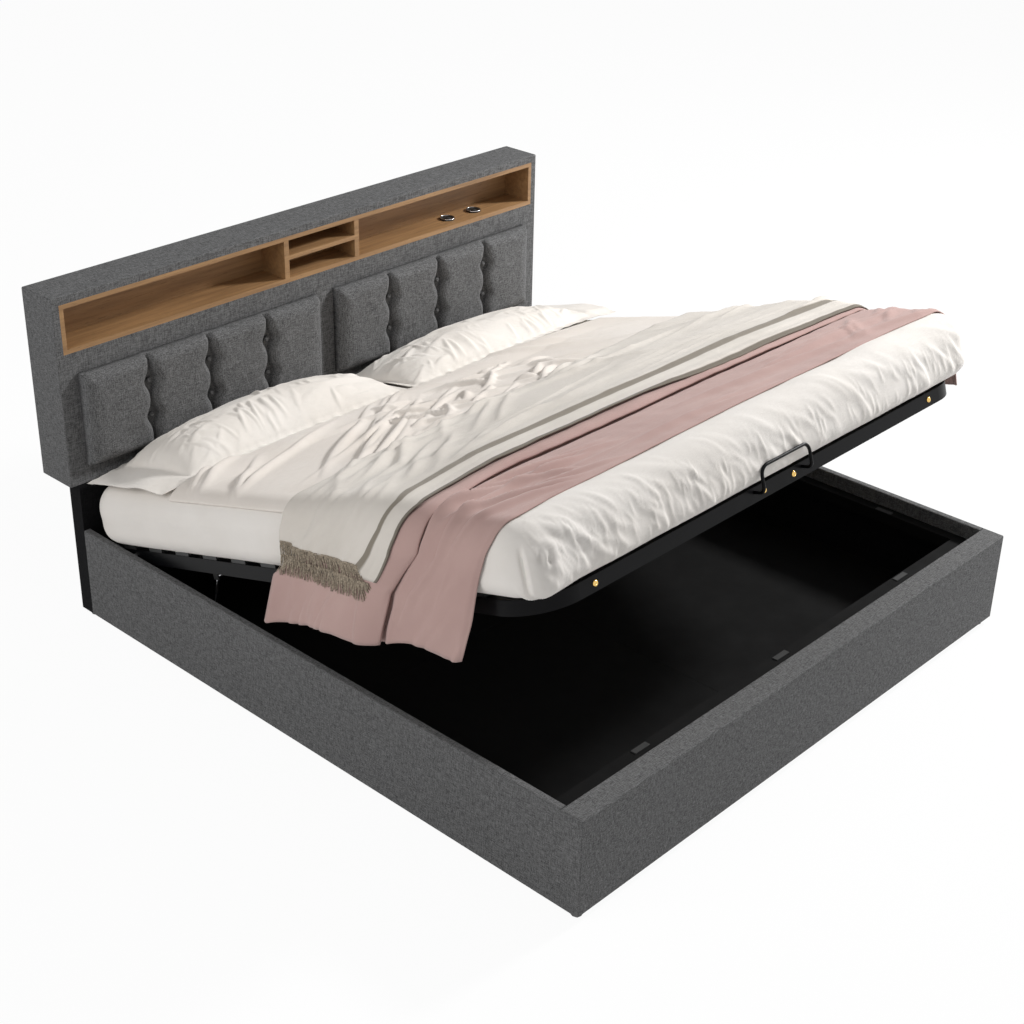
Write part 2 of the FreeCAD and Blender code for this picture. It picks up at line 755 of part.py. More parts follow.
def charging_sockets():
    """Return the socket bodies and the bright rims round their faces."""
    bodies = []
    rims = []
    for place in socket_places():
        flange = stud(place, Z_AXIS, SOCKET_FLANGE, SOCKET_R, SOCKET_R, SOCKET_SIDES)
        barrel_r = SOCKET_BARREL_R
        barrel = stud(place, -Z_AXIS, SOCKET_BARREL_LENGTH, barrel_r, barrel_r, SOCKET_SIDES)
        bodies.append(flange.fuse(barrel))
        top = place + Z_AXIS * SOCKET_FLANGE
        inner_r = SOCKET_R - SOCKET_RIM_WALL
        rim = stud(top, Z_AXIS, SOCKET_RIM_HIGH, SOCKET_R, SOCKET_R, SOCKET_SIDES)
        hole = stud(top, Z_AXIS, SOCKET_RIM_HIGH, inner_r, inner_r, SOCKET_SIDES)
        rims.append(rim.cut(hole))
    return Part.makeCompound(bodies), Part.makeCompound(rims)


def seam_places(side):
    """Return the buttoned seams of one pad, as places across the bed."""
    width = (PAD_OUTER_X - PAD_INNER_X) / PAD_CHANNELS
    return [side * (PAD_INNER_X + step * width) for step in range(1, PAD_CHANNELS)]


def button_places():
    """Return where each button sits on its seam."""
    places = []
    for side in SIDES:
        for x in seam_places(side):
            for share in BUTTON_HEIGHT_SHARES:
                z = PAD_BOTTOM + share * (PAD_TOP - PAD_BOTTOM)
                places.append(Vector(x, Y_HEAD - BUTTON_SEAT_SHARE * PAD_DEPTH, z))
    return places


def tufted_pad(side):
    """Return one pad: crowned channels drawn in at buttoned seams."""
    width = (PAD_OUTER_X - PAD_INNER_X) / PAD_CHANNELS
    outlines = []
    for height, crown, seam, rim in zip(
        PAD_HEIGHT_SHARES, PAD_CROWN_SHARES, PAD_SEAM_SHARES, PAD_RIM_SHARES
    ):
        z = PAD_BOTTOM + height * (PAD_TOP - PAD_BOTTOM)
        depths = [rim] + [seam] * (PAD_CHANNELS - 1) + [rim]
        front = []
        for step in range(PAD_CHANNELS):
            near = side * (PAD_INNER_X + step * width)
            far = near + side * width
            middle = Vector((near + far) / 2, Y_HEAD - PAD_DEPTH * crown, z)
            start = Vector(near, Y_HEAD - PAD_DEPTH * depths[step], z)
            end = Vector(far, Y_HEAD - PAD_DEPTH * depths[step + 1], z)
            front = front[:-1] + bowed(start, middle, end, PAD_STEPS)
        back = [Vector(front[-1].x, Y_HEAD, z), Vector(front[0].x, Y_HEAD, z)]
        outlines.append(front + back)
    return skinned(outlines)


def pad_buttons():
    """Return the cloth buttons, each drawn back onto its seam."""
    buttons = [
        stud(place, -Y_AXIS, BUTTON_HIGH, BUTTON_R, BUTTON_FACE_R, BUTTON_SIDES)
        for place in button_places()
    ]
    return Part.makeCompound(buttons)


# Lifting mechanism


def lift_plate(side):
    """Return one steel plate that carries the hinge and the lower stud."""
    face = side * (RAIL_INNER - PLATE_WALL)
    corners = [Vector(face, y, z) for y, z in plate_corners()]
    outline = Part.Wire(closed(corners).Edges)
    grown = outline.makeOffset2D(PLATE_BOSS_R)
    plate = Part.Face(grown).extrude(Vector(side * PLATE_WALL, 0, 0))
    middle_y = sum(corner.y for corner in corners) / len(corners)
    middle_z = sum(corner.z for corner in corners) / len(corners)
    start = Vector(face - side * OVERRUN, middle_y, middle_z)
    return plate.cut(rod(start, X_AXIS * side, PLATE_WALL + 2 * OVERRUN, PLATE_HOLE_R))


def stepped_pin(side, y, z, inner_x, collar_r, shaft_r, eye_near, eye_far):
    """Return a pin: hexagon spacer on the plate, shaft in an eye, end nut."""
    start = Vector(side * inner_x, y, z)
    axis = X_AXIS * -side
    nut_x = eye_far - SIDE_FIT
    spacer_length = inner_x - eye_near - SIDE_FIT
    spacer = stud(start, axis, spacer_length, collar_r, collar_r, HEX_SIDES)
    shaft = rod(start, axis, inner_x - nut_x, shaft_r)
    nut = stud(Vector(side * nut_x, y, z), axis, PIN_CAP, collar_r, collar_r, HEX_SIDES)
    return spacer.fuse([shaft, nut]).removeSplitter()


def lift_pins():
    """Return the hinge pins and the lower studs of both sides."""
    face = RAIL_INNER - PLATE_WALL
    eye_near = STRUT_X + STRUT_EYE_WIDTH / 2
    eye_far = STRUT_X - STRUT_EYE_WIDTH / 2
    pins = []
    for side in SIDES:
        pins.append(
            stepped_pin(
                side,
                Y_HINGE,
                HINGE_HEIGHT,
                face,
                PIN_COLLAR_R,
                HINGE_PIN_R,
                HALF_PLATFORM,
                HALF_PLATFORM - TUBE_WIDE,
            )
        )
        pins.append(
            stepped_pin(
                side, Y_STUD, STUD_HEIGHT, face, STUD_COLLAR_R, STUD_R, eye_near, eye_far
            )
        )
    return Part.makeCompound(pins)


def strut_tabs():
    """Return the tabs under the side tubes, each with its upper stud."""
    near = STRUT_X + STRUT_EYE_WIDTH / 2 + SIDE_FIT
    up = HINGE_HEIGHT - TAB_DROP
    top = HINGE_HEIGHT - HALF_TUBE
    tabs = []
    for side in SIDES:
        eye = Vector(side * near, Y_TAB, up)
        outer = side * (near + TAB_WALL)
        web = box(side * near, outer, Y_TAB - TAB_R, Y_TAB + TAB_R, up - TAB_R, top)
        axis = X_AXIS * -side
        reach = STRUT_EYE_WIDTH + 2 * SIDE_FIT
        pin = rod(eye, axis, reach, STUD_R)
        nut = stud(eye + axis * reach, axis, PIN_CAP, STUD_COLLAR_R, STUD_COLLAR_R, HEX_SIDES)
        tabs.append(web.fuse([pin, nut]).removeSplitter())
    return lifted(Part.makeCompound(tabs))


def strut_eye(up):
    """Return a strut's eye, drawn upright at a height on the strut's axis."""
    start = Vector(-STRUT_EYE_WIDTH / 2, 0, up)
    return rod(start, X_AXIS, STRUT_EYE_WIDTH, STRUT_EYE_R)


def eye_bore(up):
    """Return the bore of a strut's eye."""
    start = Vector(-STRUT_EYE_WIDTH / 2 - OVERRUN, 0, up)
    return rod(start, X_AXIS, STRUT_EYE_WIDTH + 2 * OVERRUN, STUD_R + PIN_FIT)


def strut_placed(shape, side):
    """Return a strut part leaned as it stands when the platform is lifted."""
    turned = shape.copy()
    turned.rotate(Vector(0, 0, 0), X_AXIS, math.degrees(STRUT_LEAN))
    turned.translate(Vector(side * STRUT_X, Y_STUD, STUD_HEIGHT))
    return turned


def strut_cylinder(side):
    """Return one gas strut's cylinder with its lower eye."""
    top = STRUT_CLOSED - STRUT_EYE_R - STRUT_NECK
    body = rod(Vector(0, 0, STRUT_NECK), Z_AXIS, top - STRUT_NECK, STRUT_TUBE_R)
    reach = STRUT_EYE_WIDTH / 2
    half = STRUT_NECK_WIDE / 2
    neck = box(-reach, reach, -half, half, 0, STRUT_NECK)
    bore_start = STRUT_NECK + STRUT_END
    bore = rod(
        Vector(0, 0, bore_start),
        Z_AXIS,
        top - STRUT_GUIDE - bore_start,
        STRUT_TUBE_R - STRUT_WALL,
    )
    guide = rod(Vector(0, 0, bore_start), Z_AXIS, top, STRUT_ROD_R + PIN_FIT)
    cylinder = body.fuse([neck, strut_eye(0)]).cut(eye_bore(0)).cut(bore).cut(guide)
    return strut_placed(cylinder, side)


def strut_rod(side):
    """Return one gas strut's rod with its piston and upper eye."""
    length = STRUT_CLOSED - STRUT_NECK - STRUT_END - STRUT_REST
    foot = STRUT_OPEN - length
    shaft = rod(Vector(0, 0, foot), Z_AXIS, length, STRUT_ROD_R)
    piston_r = STRUT_TUBE_R - STRUT_WALL - PIN_FIT
    piston = rod(Vector(0, 0, foot), Z_AXIS, STRUT_PISTON, piston_r)
    whole = shaft.fuse([piston, strut_eye(STRUT_OPEN)]).cut(eye_bore(STRUT_OPEN))
    return strut_placed(whole, side)


# Platform


def stringer_places():
    """Return the four stringers' places across the bed."""
    return [side * x for side in SIDES for x in (STRINGER_INNER_X, STRINGER_OUTER_X)]


def foot_bow():
    """Return the front tube with its two bent corners."""
    start = Y_PLATFORM
    end = Y_PLATFORM + CORNER_R + BOW_LEG
    low = HINGE_HEIGHT - HALF_TUBE
    high = HINGE_HEIGHT + HALF_TUBE
    far = end + 2 * CORNER_R

    def band(inset):
        outer = round_plate(
            HALF_PLATFORM - inset, start + inset, far, CORNER_R - inset, low + inset, high - inset
        )
        inner = round_plate(
            HALF_PLATFORM - TUBE_WIDE + inset,
            start + TUBE_WIDE - inset,
            far + 2 * CORNER_R,
            CORNER_R - TUBE_WIDE + inset,
            low,
            high,
        )
        return outer.cut(inner)

    keep = box(-HALF_PLATFORM, HALF_PLATFORM, start, end, low, high)
    bow = band(0).common(keep).cut(band(TUBE_WALL))
    return lifted(bow)


def side_tube(side):
    """Return one side tube of the platform, with its hinge bore."""
    outer = side * HALF_PLATFORM
    inner = side * (HALF_PLATFORM - TUBE_WIDE)
    start = CORNER_R + BOW_LEG
    tube = platform_box(outer, inner, start, PLATFORM_LENGTH, -HALF_TUBE, HALF_TUBE)
    hollow = platform_box(
        outer - side * TUBE_WALL,
        inner + side * TUBE_WALL,
        start - OVERRUN,
        PLATFORM_LENGTH + OVERRUN,
        -HALF_TUBE + TUBE_WALL,
        HALF_TUBE - TUBE_WALL,
    )
    bore_start = Vector(side * (HALF_PLATFORM + OVERRUN), Y_HINGE, HINGE_HEIGHT)
    bore = rod(bore_start, X_AXIS * -side, TUBE_WIDE + 2 * OVERRUN, HINGE_PIN_R + PIN_FIT)
    return lifted(tube.cut(hollow).cut(bore))


def head_tube():
    """Return the tube across the head end of the platform."""
    half = HALF_PLATFORM - TUBE_WIDE
    start = PLATFORM_LENGTH - TUBE_WIDE
    tube = platform_box(-half, half, start, PLATFORM_LENGTH, -HALF_TUBE, HALF_TUBE)
    hollow = platform_box(
        -half - OVERRUN,
        half + OVERRUN,
        start + TUBE_WALL,
        PLATFORM_LENGTH - TUBE_WALL,
        -HALF_TUBE + TUBE_WALL,
        HALF_TUBE - TUBE_WALL,
    )
    return lifted(tube.cut(hollow))


def stringers():
    """Return the four tubes that run under the slats."""
    half = STRINGER_WIDE / 2
    top = SLAT_BOTTOM
    bottom = top - STRINGER_HIGH
    end = PLATFORM_LENGTH - TUBE_WIDE
    tubes = []
    for x in stringer_places():
        tube = platform_box(x - half, x + half, TUBE_WIDE, end, bottom, top)
        hollow = platform_box(
            x - half + TUBE_WALL,
            x + half - TUBE_WALL,
            TUBE_WIDE + STRINGER_PLUG,
            end + OVERRUN,
            bottom + TUBE_WALL,
            top - TUBE_WALL,
        )
        tubes.append(tube.cut(hollow))
    return lifted(Part.makeCompound(tubes))


def hinge_bushes():
    """Return the bushes inside the side tubes round the hinge pins."""
    bushes = []
    length = TUBE_WIDE - 2 * TUBE_WALL
    for side in SIDES:
        start = Vector(side * (HALF_PLATFORM - TUBE_WALL), Y_HINGE, HINGE_HEIGHT)
        axis = X_AXIS * -side
        outer = stud(start, axis, length, PIN_COLLAR_R, PIN_COLLAR_R, BUSH_SIDES)
        bushes.append(outer.cut(rod(start, axis, length, HINGE_PIN_R + PIN_FIT)))
    return lifted(Part.makeCompound(bushes))


def slat_half(middle):
    """Return how far a slat reaches sideways, inside the round corner."""
    near = middle - SLAT_WIDE / 2 - HOLDER_WALL
    if near >= CORNER_R:
        return HALF_PLATFORM - SLAT_INSET
    short = CORNER_R - math.sqrt(CORNER_R**2 - (CORNER_R - near) ** 2)
    return HALF_PLATFORM - SLAT_INSET - short


def slat_middles():
    """Return each slat's middle, along from the platform's foot."""
    return [SLAT_FIRST + step * SLAT_PITCH for step in range(SLAT_COUNT)]


def slats():
    """Return both rows of slats."""
    pieces = []
    for middle in slat_middles():
        near = middle - SLAT_WIDE / 2
        far = middle + SLAT_WIDE / 2
        for side in SIDES:
            pieces.append(
                platform_box(
                    side * SLAT_MIDDLE_GAP / 2,
                    side * slat_half(middle),
                    near,
                    far,
                    SLAT_BOTTOM,
                    SLAT_TOP,
                )
            )
    return lifted(Part.makeCompound(pieces))


def slat_holders():
    """Return the end caps on the tubes and the joiners in the middle."""
    pieces = []
    for middle in slat_middles():
        near = middle - SLAT_WIDE / 2
        far = middle + SLAT_WIDE / 2
        reach = slat_half(middle)
        low = SLAT_BOTTOM - HOLDER_WALL
        high = SLAT_TOP + HOLDER_WALL
        spans = [(-HOLDER_LENGTH / 2, HOLDER_LENGTH / 2)]
        for side in SIDES:
            spans.append((side * (reach + HOLDER_WALL), side * (reach + HOLDER_WALL - HOLDER_LENGTH)))
        slat = platform_box(-reach, reach, near, far, SLAT_BOTTOM, SLAT_TOP)
        for start, end in spans:
            sleeve = platform_box(start, end, near - HOLDER_WALL, far + HOLDER_WALL, low, high)
            pieces.append(sleeve.cut(slat))
    return lifted(Part.makeCompound(pieces))


def foot_bolts():
    """Return the bright bolt heads on the front tube, one at each stringer."""
    heads = []
    for x in stringer_places():
        face = platform_point(x, 0, 0)
        high = FOOT_BOLT_HEAD_HIGH
        heads.append(
            stud(face, -Y_AXIS, high, FOOT_BOLT_HEAD_R, FOOT_BOLT_FACE_R, FOOT_BOLT_SIDES)
        )
    return lifted(Part.makeCompound(heads))


def mattress_retainer():
    """Return the bent bar that keeps the mattress from sliding down."""
    foot = RETAINER_FOOT_R
    corner = RETAINER_CORNER_R
    front = -RETAINER_FORWARD
    half = []
    half.append(platform_point(RETAINER_HALF, 0, RETAINER_ROOT))
    for turn in BEND_TURNS:
        bend = math.radians(turn)
        along = front + foot * (1 - math.sin(bend))
        up = RETAINER_ROOT + foot * (1 - math.cos(bend))
        half.append(platform_point(RETAINER_HALF, along, up))
    for turn in BEND_TURNS:
        bend = math.radians(turn)
        across = RETAINER_HALF - corner * (1 - math.cos(bend))
        up = RETAINER_TOP - corner * (1 - math.sin(bend))
        half.append(platform_point(across, front, up))
    mirrored = [Vector(-point.x, point.y, point.z) for point in half]
    path = Part.makePolygon(half + mirrored[::-1])
    section = ring(RETAINER_R, RETAINER_SIDES, 0)
    section.Placement = FreeCAD.Placement(half[0], FreeCAD.Rotation(Z_AXIS, Y_AXIS))
    return lifted(path.makePipeShell([section], True, False, CORRECTED_FRAME))


# Mattress, linen and pillows


def mattress_outline(drawn, level):
    """Return the mattress's outline at a height, drawn in on all sides."""
    foot = Y_PLATFORM - MATTRESS_OVERHANG
    foot_r = MATTRESS_FOOT_R - drawn
    head_r = MATTRESS_HEAD_R - drawn
    foot_y = foot + MATTRESS_FOOT_R
    head_y = foot + MATTRESS_LENGTH - MATTRESS_HEAD_R
    foot_corner = []
    head_corner = []
    for turn in CORNER_TURNS:
        bend = math.radians(turn)
        out = math.sin(bend)
        back = math.cos(bend)
        foot_x = HALF_MATTRESS - MATTRESS_FOOT_R + foot_r * out
        head_x = HALF_MATTRESS - MATTRESS_HEAD_R + head_r * back
        foot_corner.append(Vector(foot_x, foot_y - foot_r * back, level))
        head_corner.append(Vector(head_x, head_y + head_r * out, level))
    right = foot_corner + head_corner
    left = [Vector(-point.x, point.y, point.z) for point in right]
    return right + left[::-1]


def mattress_body(inset):
    """Return the mattress's rounded form, drawn in on all sides."""
    low = HINGE_HEIGHT + MATTRESS_BOTTOM
    high = HINGE_HEIGHT + MATTRESS_TOP
    outlines = []
    for turn in EDGE_TURNS:
        bend = math.radians(turn)
        radius = MATTRESS_BOTTOM_R - inset
        level = low + inset + radius * (1 - math.cos(bend))
        outlines.append(mattress_outline(inset + radius * (1 - math.sin(bend)), level))
    for turn in EDGE_TURNS[::-1]:
        bend = math.radians(turn)
        radius = MATTRESS_TOP_R - inset
        level = high - inset - radius * (1 - math.cos(bend))
        outlines.append(mattress_outline(inset + radius * (1 - math.sin(bend)), level))
    return skinned(outlines)


def mattress():
    """Return the mattress: quilted faces and border round its hollow."""
    foot = Y_PLATFORM - MATTRESS_OVERHANG
    hollow = round_plate(
        HALF_MATTRESS - MATTRESS_BORDER,
        foot + MATTRESS_BORDER,
        foot + MATTRESS_LENGTH - MATTRESS_BORDER,
        MATTRESS_HEAD_R - MATTRESS_BORDER,
        HINGE_HEIGHT + MATTRESS_BOTTOM + MATTRESS_COVER,
        HINGE_HEIGHT + MATTRESS_TOP - MATTRESS_COVER,
    )
    return lifted(mattress_body(SHEET_THICK + SOFT_FIT).cut(hollow))


def fitted_sheet():
    """Return the sheet drawn over the mattress and tucked under its edge."""
    shell = mattress_body(0).cut(mattress_body(SHEET_THICK))
    foot = Y_PLATFORM - MATTRESS_OVERHANG
    low = HINGE_HEIGHT + MATTRESS_BOTTOM
    mouth = box(
        -HALF_MATTRESS + SHEET_TUCK,
        HALF_MATTRESS - SHEET_TUCK,
        foot + SHEET_TUCK,
        foot + MATTRESS_LENGTH - SHEET_TUCK,
        low - OVERRUN,
        low + OVERRUN,
    )
    return lifted(shell.cut(mouth))


def folded_section(origin, outward, start, end, lift, thick, fold_shares, rises):
    """Return a cloth strip's outline: a row of arched folds."""
    width = end - start
    near = 0
    upper = []
    lower = []

    def point(along, height):
        return origin + Y_AXIS * (Y_PLATFORM + along) + outward * height

    for share, rise in zip(fold_shares, rises):
        first = start + near * width
        last = start + share * width
        middle = (first + last) / 2
        top = lift + thick
        under = bowed(point(first, lift), point(middle, lift + rise), point(last, lift), FOLD_STEPS)
        over = bowed(point(first, top), point(middle, top + rise), point(last, top), FOLD_STEPS)
        lower = lower[:-1] + under
        upper = upper[:-1] + over
        near = share
    return lower + upper[::-1]


def draped(spans, lift, thick, shares, top_rises, hangs):
    """Return cloth laid across the mattress and hung down at its sides.

    spans gives where the cloth starts and ends on each side. hangs gives the
    sections down from the edge: a drop, a start, an end, a lift and rises.
    """
    halves = {}
    for side, (start, end) in spans.items():
        x = side * (HALF_MATTRESS - MATTRESS_TOP_R)
        centre = Vector(x, 0, HINGE_HEIGHT + MATTRESS_TOP - MATTRESS_TOP_R)
        sections = []
        for turn in EDGE_TURNS:
            bend = math.radians(turn)
            outward = Vector(side * math.sin(bend), 0, math.cos(bend))
            origin = centre + outward * MATTRESS_TOP_R
            sections.append(
                folded_section(origin, outward, start, end, lift, thick, shares, top_rises)
            )
        outward = X_AXIS * side
        for drop, near, far, side_lift, rises in hangs[side]:
            origin = centre + outward * MATTRESS_TOP_R - Z_AXIS * (drop - MATTRESS_TOP_R)
            sections.append(
                folded_section(origin, outward, near, far, side_lift, thick, shares, rises)
            )
        halves[side] = sections
    return skinned(halves[1][::-1] + halves[-1])


def pink_blanket():
    """Return the blanket across the foot half, hanging at both sides."""
    middle_drop = (BLANKET_DROP + MATTRESS_TOP_R) / 2
    middle_start = (BLANKET_START_LEFT + BLANKET_HEM_START) / 2
    middle_end = (BLANKET_END + BLANKET_HEM_END) / 2
    hem_start = BLANKET_HEM_START
    hem_end = BLANKET_HEM_END
    fit = SOFT_FIT
    hangs = {
        1: [(BLANKET_RIGHT_DROP, BLANKET_START, BLANKET_END, fit, BLANKET_HEM_RISES)],
        -1: [
            (middle_drop, middle_start, middle_end, fit, BLANKET_SIDE_RISES),
            (BLANKET_DROP, hem_start, hem_end, fit, BLANKET_HEM_RISES),
        ],
    }
    spans = {1: (BLANKET_START, BLANKET_END), -1: (BLANKET_START_LEFT, BLANKET_END)}
    cloth = draped(
        spans, SOFT_FIT, BLANKET_THICK, BLANKET_FOLD_SHARES, BLANKET_TOP_RISES, hangs
    )
    return lifted(cloth)


def throw():
    """Return the throw across the middle, hanging at the left side."""
    hem = (THROW_DROP, THROW_HEM_START, THROW_HEM_END, THROW_LIFT, THROW_SIDE_RISES)
    hangs = {1: [], -1: [hem]}
    spans = {1: (THROW_START, THROW_END), -1: (THROW_START_LEFT, THROW_END_LEFT)}
    cloth = draped(spans, THROW_LIFT, THROW_THICK, THROW_FOLD_SHARES, THROW_TOP_RISES, hangs)
    return lifted(cloth)


def throw_fringe():
    """Return the two rows of fringe at the throw's hanging end."""
    outer = -(HALF_MATTRESS + THROW_LIFT)
    top = MATTRESS_TOP - THROW_DROP
    rows = []
    for step in (0, 1):
        high = top - step * FRINGE_STEP
        low = high - FRINGE_LENGTH
        x = outer - step * (FRINGE_THICK + SOFT_FIT)
        corners = [
            platform_point(x, THROW_HEM_START, low),
            platform_point(x, THROW_HEM_END + FRINGE_SPREAD, low),
            platform_point(x, THROW_HEM_END, high),
            platform_point(x, THROW_HEM_START, high),
        ]
        row = Part.Face(closed(corners))
        rows.append(row.extrude(X_AXIS * -FRINGE_THICK))
    return lifted(Part.makeCompound(rows))


def duvet():
    """Return the duvet between the throw and the pillows."""
    top = HINGE_HEIGHT + MATTRESS_TOP
    sections = [
        folded_section(
            Vector(x, 0, top),
            Z_AXIS,
            DUVET_START,
            DUVET_END,
            SOFT_FIT,
            DUVET_THICK,
            DUVET_FOLD_SHARES,
            DUVET_RISES,
        )
        for x in (-DUVET_HALF, DUVET_HALF)
    ]
    return lifted(skinned(sections))


def pillow(wide, thick):
    """Return a pillow along X: crowned, drawn in at its sides, sewn round."""
    sections = []
    for place, crown, draw in zip(
        PILLOW_SECTION_SHARES, PILLOW_CROWN_SHARES, PILLOW_SIDE_SHARES
    ):
        x = (place - 1 / 2) * PILLOW_LENGTH
        half = wide / 2 * draw
        seam = PILLOW_EDGE / 2
        top = seam + crown * thick * (1 - PILLOW_SEAM_SHARE)
        bottom = -seam - crown * thick * PILLOW_SEAM_SHARE
        corners = [
            Vector(x, -half, -seam),
            Vector(x, half, -seam),
            Vector(x, half, seam),
            Vector(x, -half, seam),
        ]
        sag = Vector(x, 0, bottom - seam / 2)
        peak = Vector(x, 0, top + seam / 2)
        under = bowed(corners[0], sag, corners[1], PILLOW_STEPS)
        over = bowed(corners[2], peak, corners[3], PILLOW_STEPS)
        sections.append(under + over)
    return skinned(sections)


def pillows():
    """Return the two long pillows, side by side against the headboard."""
    foot = Y_PLATFORM - MATTRESS_OVERHANG
    high = HINGE_HEIGHT + MATTRESS_TOP
    bed = box(-HALF_MATTRESS, HALF_MATTRESS, foot, foot + MATTRESS_LENGTH, HINGE_HEIGHT, high)
    laid = []
    for side in SIDES:
        one = pillow(PILLOW_WIDE, PILLOW_THICK)
        across = PILLOW_SHIFT + side * (PILLOW_MIDDLE_GAP + PILLOW_LENGTH) / 2
        along = PILLOW_START + PILLOW_WIDE / 2
        one.translate(platform_point(across, along, MATTRESS_TOP + PILLOW_THICK))
        laid.append(settled(one, [bed]))
    return lifted(Part.makeCompound(laid))


def build():
    """Return every piece of the bed under its name."""
    parts = {}
    core, lining, cover = footboard()
    parts["footboard_core"] = core
    parts["footboard_cover"] = cover
    linings = [lining]
    for side, name in ((-1, "left"), (1, "right")):
        core, lining, cover = side_rail(side)
        linings.append(lining)
        parts["side_rail_core_" + name] = core
        parts["side_rail_cover_" + name] = cover
        parts["tufted_pad_" + name] = tufted_pad(side)
        parts["lift_plate_" + name] = lift_plate(side)
        parts["strut_cylinder_" + name] = strut_cylinder(side)
        parts["strut_rod_" + name] = strut_rod(side)
        parts["platform_side_tube_" + name] = side_tube(side)
    parts["box_lining"] = Part.makeCompound(linings)
    parts["headboard_base_core"], parts["headboard_base_cover"] = headboard_base()
    parts["headboard_cover"] = headboard_cover()
    parts["headboard_ends"] = headboard_ends()
    long_boards, back, front = headboard_boards()
    parts["headboard_long_boards"] = long_boards
    parts["headboard_back_board"] = back
    parts["headboard_front_board"] = front
    parts["headboard_ribs"] = headboard_ribs()
    floor, roof, ends, rear, dividers, shelf = niche()
    parts["niche_floor"] = floor
    parts["niche_roof"] = roof
    parts["niche_ends"] = ends
    parts["niche_back"] = rear
    parts["niche_dividers"] = dividers
    parts["niche_shelf"] = shelf
    parts["pad_buttons"] = pad_buttons()
    parts["charging_sockets"], parts["socket_rims"] = charging_sockets()
    parts["platform_ledges"] = platform_ledges()
    parts["rest_bumpers"] = rest_bumpers()
    parts["storage_floor"] = storage_floor()
    parts["floor_cleats"] = floor_cleats()
    parts["centre_beam"] = centre_beam()
    parts["feet"] = feet()
    parts["corner_brackets"] = corner_brackets()
    parts["frame_bolts"] = frame_bolts()
    parts["lift_pins"] = lift_pins()
    parts["strut_tabs"] = strut_tabs()
    parts["platform_foot_bow"] = foot_bow()
    parts["platform_head_tube"] = head_tube()
    parts["platform_stringers"] = stringers()
    parts["hinge_bushes"] = hinge_bushes()
    parts["slats"] = slats()
    parts["slat_holders"] = slat_holders()
    parts["foot_bolts"] = foot_bolts()
    parts["mattress_retainer"] = mattress_retainer()
    parts["mattress"] = mattress()
    parts["fitted_sheet"] = fitted_sheet()
    parts["duvet"] = duvet()
    parts["pink_blanket"] = pink_blanket()
    parts["throw"] = throw()
    parts["throw_fringe"] = throw_fringe()
    parts["pillows"] = pillows()
    return parts


os.makedirs("parts", exist_ok=True)
for node, shape in build().items():
    shape.exportStep(os.path.join("parts", node + ".step"))
    print(node, len(shape.Solids), shape.isValid(), round(shape.Volume / 1e3, 1))
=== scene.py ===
import json
import logging
import math
from dataclasses import dataclass
from enum import Enum
from typing import Any, Sequence

import bmesh
import bpy
import numpy as np
from mathutils import Matrix, Vector


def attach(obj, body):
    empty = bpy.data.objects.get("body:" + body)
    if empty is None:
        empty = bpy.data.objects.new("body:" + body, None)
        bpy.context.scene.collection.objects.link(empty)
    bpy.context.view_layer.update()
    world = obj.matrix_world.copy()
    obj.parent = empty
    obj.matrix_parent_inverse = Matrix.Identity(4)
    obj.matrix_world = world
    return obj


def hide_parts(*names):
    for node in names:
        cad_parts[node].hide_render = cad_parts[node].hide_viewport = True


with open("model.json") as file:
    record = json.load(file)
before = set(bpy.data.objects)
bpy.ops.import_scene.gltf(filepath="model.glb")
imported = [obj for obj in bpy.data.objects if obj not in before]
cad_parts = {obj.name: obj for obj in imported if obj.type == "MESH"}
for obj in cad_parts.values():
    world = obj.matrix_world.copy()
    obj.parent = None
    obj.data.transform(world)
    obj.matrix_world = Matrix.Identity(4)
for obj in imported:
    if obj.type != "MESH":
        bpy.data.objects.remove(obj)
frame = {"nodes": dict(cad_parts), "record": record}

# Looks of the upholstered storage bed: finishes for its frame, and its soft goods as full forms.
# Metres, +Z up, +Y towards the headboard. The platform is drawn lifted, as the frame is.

log = logging.getLogger("bed")
Array = np.ndarray
Piece = bpy.types.Object
Socket = bpy.types.NodeSocket
Colour = tuple[float, float, float]
Curve = tuple[tuple[float, ...], tuple[float, ...]]
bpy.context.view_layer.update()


class Body(str, Enum):
    """The frame's bodies that new pieces ride on."""

    BOX = "bed_box"
    PLATFORM = "platform"


class Coordinates(str, Enum):
    """Where a material reads its pattern from."""

    OBJECT = "Object"
    UV = "UV"


# Finishes


def opaque(value: Any) -> Any:
    """Return a colour with its alpha, and a socket as it is."""
    return value if isinstance(value, Socket) else (*value, 1.0)


